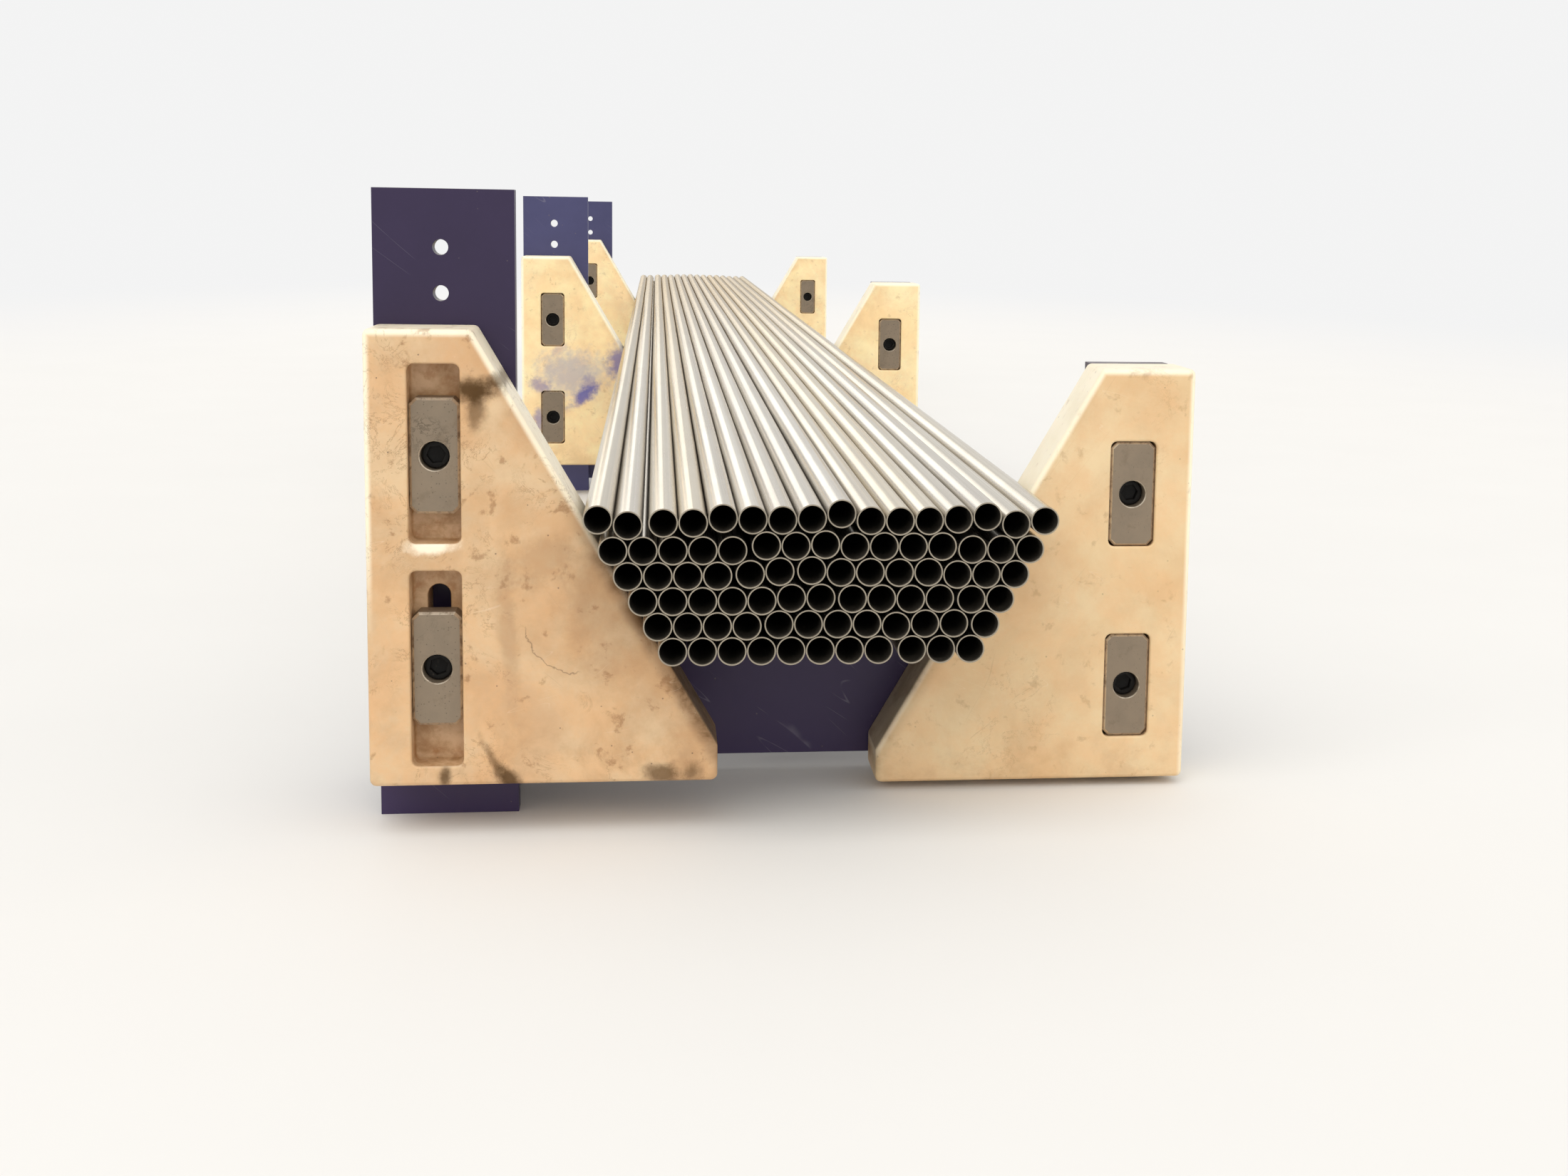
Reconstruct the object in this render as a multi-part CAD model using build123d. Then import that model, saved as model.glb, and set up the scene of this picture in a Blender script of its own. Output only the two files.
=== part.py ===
"""Bundle of round steel pipes lying in three V-shaped cradles of plastic chocks.

The pipes run along Y, with the cut ends that show at -Y. X is across the bundle and Z is up.
The origin is on the floor, under the middle of the whole part. All sizes are in millimetres.
"""
import math
import os

from build123d import *

# Pipes
PIPE_OD = 25.4
PIPE_WALL = 1.2
PIPE_LENGTH = 6000.0
PIPE_CLEARANCE = 0.3
BOTTOM_COUNT = 11
LAYERS = 6
NEST_ANGLE = 60.0
BOTTOM_ROW_HEIGHT = 178.0

# Slack in each layer, as gaps after the pipe of that number, counted from the left.
# Every layer has the same sum, so that both outer pipes touch their chocks.
SLACK = 4.5
GAPS = (
    {8: 3.8, 10: 0.7},
    {4: 2.2, 11: 2.3},
    {7: 2.0, 11: 2.5},
    {4: 2.5, 6: 2.0},
    {5: 3.5, 12: 1.0},
    {2: 4.5},
)

# How far the front end of a sprung pipe of the top layer stands above its groove
TOP_END_LIFT = {1: 5.0, 5: 4.0, 9: 5.5, 13: 2.5, 14: 7.0, 16: 3.0}

# Stations, as distances of the chocks' front faces behind the pipe ends
LEFT_STATION_1 = 50.0
LEFT_STATION_2 = 2105.0
LEFT_STATION_3 = 4170.0
RIGHT_STATION_1 = 160.0
RIGHT_STATION_2 = 2140.0
RIGHT_STATION_3 = 4240.0

# Heights of the chocks' feet above the floor: a higher chock stands further out
LEFT_FOOT_1 = 47.0
LEFT_FOOT_2 = 60.0
LEFT_FOOT_3 = 60.0
RIGHT_FOOT_1 = 8.0
RIGHT_FOOT_2 = 15.0
RIGHT_FOOT_3 = 16.0

# Chocks
CHOCK_HEIGHT = 406.0
CHOCK_TOP_WIDTH = 92.0
CHOCK_TIP_HEIGHT = 34.0
CHOCK_THICKNESS = 70.0
CHOCK_CORNER_RADIUS = 6.0
SEAT_CLEARANCE = 0.2

# Pockets of all chocks
POCKET_WIDTH = 45.0
POCKET_INSET = 37.0
POCKET_CORNER_RADIUS = 6.0

# Long pockets and slots of the first left chock: distances down from its top edge
LONG_POCKET_DEPTH = 30.0
SLOT_WIDTH = 20.0
SLOT_LENGTH = 96.0
UPPER_POCKET_TOP = 30.0
UPPER_POCKET_LENGTH = 158.0
UPPER_SLOT_MIDDLE = 114.0
LOWER_POCKET_TOP = 212.0
LOWER_POCKET_LENGTH = 176.0
LOWER_SLOT_MIDDLE = 277.0

# Clamp plates and their screws
PLATE_HEIGHT = 102.0
PLATE_THICKNESS = 24.0
PLATE_CLEARANCE = 0.5
PLATE_CORNER_RADIUS = 6.0
PLATE_SINK = 1.5
SCREW_DIAMETER = 16.0
SCREW_HOLE = 17.5
HEAD_DIAMETER = 24.0
HEAD_HEIGHT = 16.0
COUNTERBORE_DIAMETER = 26.0
COUNTERBORE_DEPTH = 18.0
LONG_POCKET_SCREW_DROP = 111.0
SCREW_DROP = 122.0
SCREW_SPACING = 190.0
THREAD_CLEARANCE = 0.15

# Welded frame of a station
FRAME_PLATE = 20.0
LEFT_UPRIGHT_WIDTH = 125.0
RIGHT_UPRIGHT_WIDTH = 80.0
RIGHT_UPRIGHT_INSET = 10.0
LEFT_UPRIGHT_HEIGHT_1 = 574.0
LEFT_UPRIGHT_HEIGHT_2 = 581.0
LEFT_UPRIGHT_HEIGHT_3 = 581.0
CROSS_PLATE_FOOT = 20.0
SPARE_HOLE_DIAMETER = 14.0
SPARE_HOLE_DROP = 52.0
SPARE_HOLE_SPACING = 41.0

# Worked out from the sizes above
PITCH = PIPE_OD + PIPE_CLEARANCE
SLOPE = math.radians(NEST_ANGLE)
LAYER_RISE = PITCH * math.sin(SLOPE)
LAYER_SHIFT = PITCH * math.cos(SLOPE)
BOTTOM_HALF = ((BOTTOM_COUNT - 1) * PITCH + SLACK) / 2
SEAT_REACH = (PIPE_OD / 2 + SEAT_CLEARANCE) / math.sin(SLOPE)
CHOCK_BASE_WIDTH = CHOCK_TOP_WIDTH + (CHOCK_HEIGHT - CHOCK_TIP_HEIGHT) / math.tan(SLOPE)
PLATE_WIDTH = POCKET_WIDTH - 2 * PLATE_CLEARANCE
FITTED_POCKET_LENGTH = PLATE_HEIGHT + 2 * PLATE_CLEARANCE
FITTED_POCKET_DEPTH = PLATE_THICKNESS + PLATE_SINK
FRONT = -PIPE_LENGTH / 2
LEFT, RIGHT = -1, 1


def slope_x(height):
    """Half width between the two sloping faces at a height above the floor."""
    return BOTTOM_HALF + SEAT_REACH + (height - BOTTOM_ROW_HEIGHT) / math.tan(SLOPE)


def outer_x(foot):
    """Distance of a chock's upright outer edge from the middle of the bundle."""
    return slope_x(foot + CHOCK_HEIGHT) + CHOCK_TOP_WIDTH


# The left chocks stand higher and so further out: this brings the middle of the whole to X = 0.
LEFT_REACH = outer_x(max(LEFT_FOOT_1, LEFT_FOOT_2, LEFT_FOOT_3))
RIGHT_REACH = outer_x(max(RIGHT_FOOT_1, RIGHT_FOOT_2, RIGHT_FOOT_3))
MIDDLE = (LEFT_REACH - RIGHT_REACH) / 2


def layer_row(layer):
    """X of each pipe of a layer, from the left, with its gaps."""
    x = -BOTTOM_HALF - layer * LAYER_SHIFT
    row = []
    for number in range(1, BOTTOM_COUNT + layer + 1):
        row.append(x)
        x += PITCH + GAPS[layer].get(number, 0.0)
    return row


def resting_height(x, below):
    """Height at which a pipe at x comes to rest on the pipes of the layer below."""
    touching = [(bx, bz) for bx, bz in below if abs(x - bx) < PITCH]
    return max(bz + math.sqrt(PITCH**2 - (x - bx) ** 2) for bx, bz in touching)


def pipe_centres():
    """Centres (x, z) of all pipes, layer by layer from the bottom."""
    layers = [[(x, BOTTOM_ROW_HEIGHT) for x in layer_row(0)]]
    for layer in range(1, LAYERS):
        below = layers[-1]
        layers.append([(x, resting_height(x, below)) for x in layer_row(layer)])
    return layers


def pipe(x, z, end_lift=0.0):
    """One pipe, whose front end may stand above its groove."""
    section = Circle(PIPE_OD / 2) - Circle(PIPE_OD / 2 - PIPE_WALL)
    tilt = math.degrees(math.asin(end_lift / PIPE_LENGTH))
    start = Location((x + MIDDLE, FRONT, z + end_lift), (-90 - tilt, 0, 0))
    return extrude(section, PIPE_LENGTH).moved(start)


def pipe_layer(layer, centres):
    """The pipes of one layer."""
    lifts = TOP_END_LIFT if layer == LAYERS - 1 else {}
    pipes = [pipe(x, z, lifts.get(i + 1, 0.0)) for i, (x, z) in enumerate(centres)]
    return Compound(pipes)


def plate_at(section, front, thickness):
    """A section drawn in X and Z, made into a plate that reaches back from its front face."""
    sheet = Plane((0, front, 0), x_dir=(1, 0, 0), z_dir=(0, -1, 0))
    return extrude(sheet * section, -thickness)


class Place:
    """Where a chock stands, with the sizes that differ from chock to chock."""

    def __init__(self, side, foot, station, long_pockets=False):
        self.side = side
        self.foot = foot
        self.top = foot + CHOCK_HEIGHT
        self.outer = outer_x(foot)
        self.front = FRONT + station
        self.back = self.front + CHOCK_THICKNESS
        self.axis = side * (self.outer - POCKET_INSET - POCKET_WIDTH / 2) + MIDDLE
        self.long_pockets = long_pockets
        self.pocket_depth = LONG_POCKET_DEPTH if long_pockets else FITTED_POCKET_DEPTH
        upper = self.top - (LONG_POCKET_SCREW_DROP if long_pockets else SCREW_DROP)
        self.screw_heights = (upper, upper - SCREW_SPACING)


def chock_outline(place):
    """Front view of a chock: a trapezium with an upright outer edge and a blunt tip."""
    outer = place.outer
    corners = [
        (outer, place.foot),
        (outer, place.top),
        (outer - CHOCK_TOP_WIDTH, place.top),
        (outer - CHOCK_BASE_WIDTH, place.foot + CHOCK_TIP_HEIGHT),
        (outer - CHOCK_BASE_WIDTH, place.foot),
    ]
    points = [(place.side * x + MIDDLE, z) for x, z in corners]
    outline = make_face(Polyline(points, close=True))
    return fillet(outline.vertices(), CHOCK_CORNER_RADIUS)


def pocket_at(place, height, length):
    """Front view of a pocket round a middle height."""
    return Pos(place.axis, height) * RectangleRounded(POCKET_WIDTH, length, POCKET_CORNER_RADIUS)


def chock(place):
    """A chock with two pockets in its front face: long ones with slots, or ones that fit a plate."""
    body = plate_at(chock_outline(place), place.front, CHOCK_THICKNESS)
    floor = place.front + place.pocket_depth
    rest = CHOCK_THICKNESS - place.pocket_depth
    if place.long_pockets:
        for drop, length, slot in (
            (UPPER_POCKET_TOP, UPPER_POCKET_LENGTH, UPPER_SLOT_MIDDLE),
            (LOWER_POCKET_TOP, LOWER_POCKET_LENGTH, LOWER_SLOT_MIDDLE),
        ):
            pocket = pocket_at(place, place.top - drop - length / 2, length)
            body -= plate_at(pocket, place.front, place.pocket_depth)
            opening = SlotOverall(SLOT_LENGTH, SLOT_WIDTH, rotation=90)
            body -= plate_at(Pos(place.axis, place.top - slot) * opening, floor, rest)
        return body
    for height in place.screw_heights:
        pocket = pocket_at(place, height, FITTED_POCKET_LENGTH)
        body -= plate_at(pocket, place.front, place.pocket_depth)
        body -= plate_at(Pos(place.axis, height) * Circle(SCREW_HOLE / 2), floor, rest)
    return body


def clamp_plate(place, height):
    """A clamp plate on the floor of its pocket, with a counterbored hole."""
    centre = Pos(place.axis, height)
    face = place.front + place.pocket_depth - PLATE_THICKNESS
    outline = centre * RectangleRounded(PLATE_WIDTH, PLATE_HEIGHT, PLATE_CORNER_RADIUS)
    body = plate_at(outline, face, PLATE_THICKNESS)
    body -= plate_at(centre * Circle(SCREW_HOLE / 2), face, PLATE_THICKNESS)
    body -= plate_at(centre * Circle(COUNTERBORE_DIAMETER / 2), face, COUNTERBORE_DEPTH)
    return body


def clamp_screw(place, height):
    """A socket screw through plate, chock and upright, with its head in the counterbore."""
    centre = Pos(place.axis, height)
    seat = place.front + place.pocket_depth - PLATE_THICKNESS + COUNTERBORE_DEPTH
    end = place.back + FRAME_PLATE
    head = plate_at(centre * Circle(HEAD_DIAMETER / 2), seat - HEAD_HEIGHT, HEAD_HEIGHT)
    shank = plate_at(centre * Circle(SCREW_DIAMETER / 2), seat, end - seat)
    return head + shank


def box_between(x0, x1, y0, y1, z0, z1):
    """A box from its lower to its upper corner."""
    size = Box(x1 - x0, y1 - y0, z1 - z0, align=(Align.MIN, Align.MIN, Align.MIN))
    return size.moved(Location((x0, y0, z0)))


def upright(place, x0, x1, height):
    """A plate upright behind a chock, with a threaded hole for each screw."""
    y = place.back
    body = box_between(x0, x1, y, y + FRAME_PLATE, 0, height)
    for z in place.screw_heights:
        thread = Circle(SCREW_DIAMETER / 2 + THREAD_CLEARANCE)
        body -= plate_at(Pos(place.axis, z) * thread, y, FRAME_PLATE)
    return body


def frame(left, right, left_height):
    """A station's welded frame: two uprights, the cross plate under the pipes and its spacer."""
    left_outer = -left.outer + MIDDLE
    right_outer = right.outer + MIDDLE - RIGHT_UPRIGHT_INSET
    right_inner = right_outer - RIGHT_UPRIGHT_WIDTH
    body = upright(left, left_outer, left_outer + LEFT_UPRIGHT_WIDTH, left_height)
    body += upright(right, right_inner, right_outer, right.top)
    for step in range(2):
        z = left_height - SPARE_HOLE_DROP - step * SPARE_HOLE_SPACING
        hole = Pos(left.axis, z) * Circle(SPARE_HOLE_DIAMETER / 2)
        body -= plate_at(hole, left.back, FRAME_PLATE)
    cross_top = BOTTOM_ROW_HEIGHT - PIPE_OD / 2 - SEAT_CLEARANCE
    cross_y = right.back
    body += box_between(
        left_outer, right_inner, cross_y, cross_y + FRAME_PLATE, CROSS_PLATE_FOOT, cross_top
    )
    body += box_between(
        left_outer, left_outer + LEFT_UPRIGHT_WIDTH,
        left.back + FRAME_PLATE, cross_y, CROSS_PLATE_FOOT, cross_top,
    )
    return body


def export(shape, name):
    """Write one node."""
    shape.label = name
    export_step(shape, f"parts/{name}.step")


os.makedirs("parts", exist_ok=True)

for layer, centres in enumerate(pipe_centres()):
    export(pipe_layer(layer, centres), f"pipe_layer_{layer + 1}")

LEFT_PLACES = (
    Place(LEFT, LEFT_FOOT_1, LEFT_STATION_1, long_pockets=True),
    Place(LEFT, LEFT_FOOT_2, LEFT_STATION_2),
    Place(LEFT, LEFT_FOOT_3, LEFT_STATION_3),
)
RIGHT_PLACES = (
    Place(RIGHT, RIGHT_FOOT_1, RIGHT_STATION_1),
    Place(RIGHT, RIGHT_FOOT_2, RIGHT_STATION_2),
    Place(RIGHT, RIGHT_FOOT_3, RIGHT_STATION_3),
)
for side_name, places in (("left", LEFT_PLACES), ("right", RIGHT_PLACES)):
    for number, place in enumerate(places, start=1):
        export(chock(place), f"chock_{side_name}_{number}")
    plates = [clamp_plate(place, height) for place in places for height in place.screw_heights]
    export(Compound(plates), f"clamp_plates_{side_name}")
    screws = [clamp_screw(place, height) for place in places for height in place.screw_heights]
    export(Compound(screws), f"clamp_screws_{side_name}")

LEFT_HEIGHTS = (LEFT_UPRIGHT_HEIGHT_1, LEFT_UPRIGHT_HEIGHT_2, LEFT_UPRIGHT_HEIGHT_3)
stations = zip(LEFT_PLACES, RIGHT_PLACES, LEFT_HEIGHTS)
for number, (left, right, left_height) in enumerate(stations, start=1):
    export(frame(left, right, left_height), f"station_frame_{number}")
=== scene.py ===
"""Bundle of bright steel tubes, lying in three stations of cream plastic chocks.

The tubes run along Y, with the cut ends that face the viewer at -Y. All sizes are in metres.
"""
import math
import random

import bmesh
import bpy
from bpy.props import FloatProperty, FloatVectorProperty, IntProperty, PointerProperty
from mathutils import Matrix, Vector


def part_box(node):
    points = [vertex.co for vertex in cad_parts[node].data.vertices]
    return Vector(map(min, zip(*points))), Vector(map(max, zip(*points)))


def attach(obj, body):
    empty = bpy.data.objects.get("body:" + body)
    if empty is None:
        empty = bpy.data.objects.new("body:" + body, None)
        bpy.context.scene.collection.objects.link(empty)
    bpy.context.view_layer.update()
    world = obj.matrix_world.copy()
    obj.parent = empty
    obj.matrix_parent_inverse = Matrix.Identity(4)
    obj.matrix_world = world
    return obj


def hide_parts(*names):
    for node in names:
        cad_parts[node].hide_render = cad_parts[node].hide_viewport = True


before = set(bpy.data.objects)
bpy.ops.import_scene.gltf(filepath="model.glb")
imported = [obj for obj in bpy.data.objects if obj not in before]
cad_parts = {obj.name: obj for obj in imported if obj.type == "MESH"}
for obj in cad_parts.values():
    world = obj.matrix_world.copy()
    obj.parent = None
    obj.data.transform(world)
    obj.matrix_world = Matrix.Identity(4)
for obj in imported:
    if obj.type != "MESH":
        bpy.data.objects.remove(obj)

bl_info = {
    "name": "Bundle of steel tubes",
    "version": (1, 0, 0),
    "blender": (4, 5, 0),
    "location": "3D View > Sidebar > Tube Bundle",
    "description": "Builds a bundle of steel tubes lying in plastic chocks",
    "category": "Object",
}

BODY = "root"
SIDES = ("left", "right")
STATIONS = (1, 2, 3)
LAYERS = (1, 2, 3, 4, 5, 6)


# Settings that a user would change

class TubeSettings(bpy.types.PropertyGroup):
    """Sizes and finish of the steel tubes"""
    diameter: FloatProperty(
        name="Diameter", description="Outside diameter of a tube",
        default=0.0254, min=0.005, unit="LENGTH")
    wall: FloatProperty(
        name="Wall", description="Wall thickness of a tube",
        default=0.0012, min=0.0003, unit="LENGTH")
    cut_edge: FloatProperty(
        name="Cut edge", description="Width of the small slope round a cut end",
        default=0.00022, min=0.00001, unit="LENGTH")
    sides: IntProperty(
        name="Sides", description="Number of flat strips round a tube", default=48, min=12)
    seed: IntProperty(
        name="Seed", description="Fixed seed of the differences between tubes", default=7)
    steel: FloatVectorProperty(
        name="Steel", description="Colour of the bright steel",
        default=(0.84, 0.82, 0.775), size=3, subtype="COLOR", min=0.0, max=1.0)
    bore: FloatVectorProperty(
        name="Bore", description="Colour of the scaled wall inside a tube",
        default=(0.045, 0.039, 0.031), size=3, subtype="COLOR", min=0.0, max=1.0)
    cut: FloatVectorProperty(
        name="Cut end", description="Colour of the sawn end face",
        default=(0.35, 0.305, 0.235), size=3, subtype="COLOR", min=0.0, max=1.0)


class ChockSettings(bpy.types.PropertyGroup):
    """Sizes and finish of the plastic chocks"""
    top_width: FloatProperty(
        name="Top width", description="Width of a chock's flat top",
        default=0.092, min=0.01, unit="LENGTH")
    tip_height: FloatProperty(
        name="Tip height", description="Height of the blunt tip",
        default=0.034, min=0.001, unit="LENGTH")
    corner: FloatProperty(
        name="Corner", description="Radius of the outline's corners",
        default=0.006, min=0.001, unit="LENGTH")
    edge: FloatProperty(
        name="Edge", description="Radius of the softened edges",
        default=0.0045, min=0.0002, unit="LENGTH")
    pocket_edge: FloatProperty(
        name="Pocket edge", description="Radius of the pockets' softened rims",
        default=0.0022, min=0.0002, unit="LENGTH")
    pocket_width: FloatProperty(
        name="Pocket width", description="Width of a pocket",
        default=0.045, min=0.01, unit="LENGTH")
    plate_gap: FloatProperty(
        name="Plate gap", description="Gap round a plate in a pocket that fits it",
        default=0.0005, min=0.0001, unit="LENGTH")
    pocket_inset: FloatProperty(
        name="Pocket inset", description="Distance of a pocket from the upright outer edge",
        default=0.037, min=0.001, unit="LENGTH")
    slot_width: FloatProperty(
        name="Slot width", description="Width of the slot through a pocket's floor",
        default=0.020, min=0.001, unit="LENGTH")
    slot_length: FloatProperty(
        name="Slot length", description="Length of the slot through a pocket's floor",
        default=0.096, min=0.001, unit="LENGTH")
    plastic: FloatVectorProperty(
        name="Plastic", description="Colour of the clean plastic",
        default=(0.60, 0.385, 0.212), size=3, subtype="COLOR", min=0.0, max=1.0)
    cream: FloatVectorProperty(
        name="Cream", description="Colour of the palest plastic",
        default=(0.715, 0.535, 0.325), size=3, subtype="COLOR", min=0.0, max=1.0)
    stain: FloatVectorProperty(
        name="Stain", description="Colour of oil and dirt rubbed into the plastic",
        default=(0.13, 0.065, 0.025), size=3, subtype="COLOR", min=0.0, max=1.0)


class ClampSettings(bpy.types.PropertyGroup):
    """Sizes and finish of the clamp plates and their screws"""
    plate_corner: FloatProperty(
        name="Plate corner", description="Radius of a clamp plate's corners",
        default=0.006, min=0.001, unit="LENGTH")
    plate_edge: FloatProperty(
        name="Plate edge", description="Slope round a clamp plate's front face",
        default=0.0022, min=0.0002, unit="LENGTH")
    bolt_hole: FloatProperty(
        name="Screw hole", description="Diameter of the hole through a clamp plate",
        default=0.0175, min=0.001, unit="LENGTH")
    counterbore: FloatProperty(
        name="Counterbore", description="Diameter of the hole for a screw's head",
        default=0.026, min=0.001, unit="LENGTH")
    counterbore_depth: FloatProperty(
        name="Counterbore depth", description="Depth of the hole for a screw's head",
        default=0.018, min=0.001, unit="LENGTH")
    head_height: FloatProperty(
        name="Head height", description="Height of a screw's head",
        default=0.016, min=0.001, unit="LENGTH")
    head_sink: FloatProperty(
        name="Head sink", description="How much lower than its CAD solid a head's top lies",
        default=0.0085, min=0.0, unit="LENGTH")
    shank: FloatProperty(
        name="Shank", description="Diameter of a screw's shank",
        default=0.016, min=0.001, unit="LENGTH")
    socket: FloatProperty(
        name="Socket", description="Width across flats of a screw's socket",
        default=0.014, min=0.001, unit="LENGTH")
    socket_depth: FloatProperty(
        name="Socket depth", description="Depth of a screw's socket",
        default=0.0065, min=0.001, unit="LENGTH")
    seed: IntProperty(
        name="Seed", description="Fixed seed of the screws' turns", default=3)
    zinc: FloatVectorProperty(
        name="Zinc", description="Colour of the plates' dull zinc",
        default=(0.235, 0.185, 0.132), size=3, subtype="COLOR", min=0.0, max=1.0)
    black: FloatVectorProperty(
        name="Black", description="Colour of the screws' black finish",
        default=(0.010, 0.009, 0.008), size=3, subtype="COLOR", min=0.0, max=1.0)


class PaintSettings(bpy.types.PropertyGroup):
    """Finish of the welded station frames"""
    edge: FloatProperty(
        name="Edge", description="Radius of the frame plates' softened edges",
        default=0.0012, min=0.0002, unit="LENGTH")
    paint: FloatVectorProperty(
        name="Paint", description="Colour of the frames' paint",
        default=(0.026, 0.0165, 0.050), size=3, subtype="COLOR", min=0.0, max=1.0)
    rear_paint: FloatVectorProperty(
        name="Rear paint", description="Colour of the two rear frames' paint",
        default=(0.056, 0.056, 0.135), size=3, subtype="COLOR", min=0.0, max=1.0)
    primer: FloatVectorProperty(
        name="Bare metal", description="Colour under chipped paint",
        default=(0.23, 0.18, 0.14), size=3, subtype="COLOR", min=0.0, max=1.0)


class StageSettings(bpy.types.PropertyGroup):
    """Floor, light and camera"""
    floor_radius: FloatProperty(
        name="Floor radius", description="Radius of the pale floor",
        default=60.0, min=5.0, unit="LENGTH")
    floor: FloatVectorProperty(
        name="Floor", description="Colour of the floor",
        default=(0.80, 0.79, 0.77), size=3, subtype="COLOR", min=0.0, max=1.0)
    horizon: FloatProperty(
        name="Horizon", description="Brightness of the studio at eye level",
        default=0.90, min=0.0, max=1.0)
    ceiling: FloatProperty(
        name="Ceiling", description="Brightness of the studio overhead",
        default=0.70, min=0.0, max=1.0)
    lens: FloatProperty(
        name="Lens", description="Focal length in millimetres", default=43.48, min=10.0)


# Small tools for node trees

def plug(tree, socket, value):
    """Link a node's output to a socket, or set the socket to a plain value."""
    if isinstance(value, bpy.types.NodeSocket):
        tree.links.new(value, socket)
    else:
        socket.default_value = value


def node(tree, kind, inputs=None, **options):
    """Add a node, with its options and its inputs by name or number."""
    made = tree.nodes.new(kind)
    for name, value in options.items():
        setattr(made, name, value)
    for key, value in (inputs or {}).items():
        plug(tree, made.inputs[key], value)
    return made


def math_node(tree, operation, first, second=0.0, clamp=False):
    """One sum on one or two values."""
    made = node(tree, "ShaderNodeMath", {0: first, 1: second}, operation=operation, use_clamp=clamp)
    return made.outputs[0]


def vector_node(tree, operation, first, second=None, scale=None):
    """One sum on vectors."""
    made = node(tree, "ShaderNodeVectorMath", {0: first}, operation=operation)
    if second is not None:
        plug(tree, made.inputs[1], second)
    if scale is not None:
        plug(tree, made.inputs["Scale"], scale)
    if operation in ("DOT_PRODUCT", "LENGTH", "DISTANCE"):
        return made.outputs["Value"]
    return made.outputs["Vector"]


def ramp(tree, value, low, high, start=0.0, end=1.0):
    """A value that goes smoothly from start to end as another goes from low to high."""
    made = node(tree, "ShaderNodeMapRange", interpolation_type="SMOOTHSTEP")
    for name, setting in (
        ("Value", value), ("From Min", low), ("From Max", high), ("To Min", start), ("To Max", end)
    ):
        plug(tree, made.inputs[name], setting)
    return made.outputs["Result"]


def blend(tree, factor, first, second, mode="MIX"):
    """A mix of two colours."""
    made = node(tree, "ShaderNodeMix", data_type="RGBA", blend_type=mode)
    plug(tree, made.inputs[0], factor)
    plug(tree, made.inputs[6], first)
    plug(tree, made.inputs[7], second)
    return made.outputs[2]


def full(colour, strength=1.0):
    """A colour as four values, at a share of its brightness."""
    return tuple(part * strength for part in colour) + (1.0,)


def new_group(name, inputs, outputs):
    """A shader node group with named sockets, and its input and output nodes."""
    tree = bpy.data.node_groups.new(name, "ShaderNodeTree")
    for label, kind, default in inputs:
        socket = tree.interface.new_socket(name=label, in_out="INPUT", socket_type=kind)
        if default is not None:
            socket.default_value = default
    for label, kind in outputs:
        tree.interface.new_socket(name=label, in_out="OUTPUT", socket_type=kind)
    return tree, tree.nodes.new("NodeGroupInput"), tree.nodes.new("NodeGroupOutput")


FLOAT = "NodeSocketFloat"
VECTOR = "NodeSocketVector"


def patches_group():
    """Uneven patches with ragged edges: stains, scuffs and chipped paint."""
    name = "Ragged patches"
    if name in bpy.data.node_groups:
        return bpy.data.node_groups[name]
    tree, given, result = new_group(
        name,
        (("Vector", VECTOR, None), ("Scale", FLOAT, 12.0), ("Cover", FLOAT, 0.4),
         ("Softness", FLOAT, 0.1), ("Shift", FLOAT, 0.0)),
        (("Mask", FLOAT),))
    noise = node(tree, "ShaderNodeTexNoise", {
        "Vector": given.outputs["Vector"], "W": given.outputs["Shift"],
        "Scale": given.outputs["Scale"], "Detail": 7.0, "Roughness": 0.66, "Distortion": 0.35},
        noise_dimensions="4D")
    level = math_node(tree, "SUBTRACT", 1.0, given.outputs["Cover"])
    low = math_node(tree, "SUBTRACT", level, given.outputs["Softness"])
    high = math_node(tree, "ADD", level, given.outputs["Softness"])
    plug(tree, result.inputs["Mask"], ramp(tree, noise.outputs["Fac"], low, high))
    return tree


def specks_group():
    """Small dark specks, some cells of a pattern having none."""
    name = "Specks"
    if name in bpy.data.node_groups:
        return bpy.data.node_groups[name]
    tree, given, result = new_group(
        name,
        (("Vector", VECTOR, None), ("Scale", FLOAT, 300.0), ("Size", FLOAT, 0.25),
         ("Share", FLOAT, 0.4)),
        (("Mask", FLOAT),))
    cells = node(tree, "ShaderNodeTexVoronoi", {
        "Vector": given.outputs["Vector"], "Scale": given.outputs["Scale"], "Randomness": 1.0})
    parts = node(tree, "ShaderNodeSeparateColor", {0: cells.outputs["Color"]})
    chosen = math_node(tree, "LESS_THAN", parts.outputs[0], given.outputs["Share"])
    size = math_node(tree, "MULTIPLY", given.outputs["Size"], parts.outputs[1])
    inner = math_node(tree, "MULTIPLY", size, 0.6)
    spot = ramp(tree, cells.outputs["Distance"], inner, size, 1.0, 0.0)
    plug(tree, result.inputs["Mask"], math_node(tree, "MULTIPLY", spot, chosen))
    return tree


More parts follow.
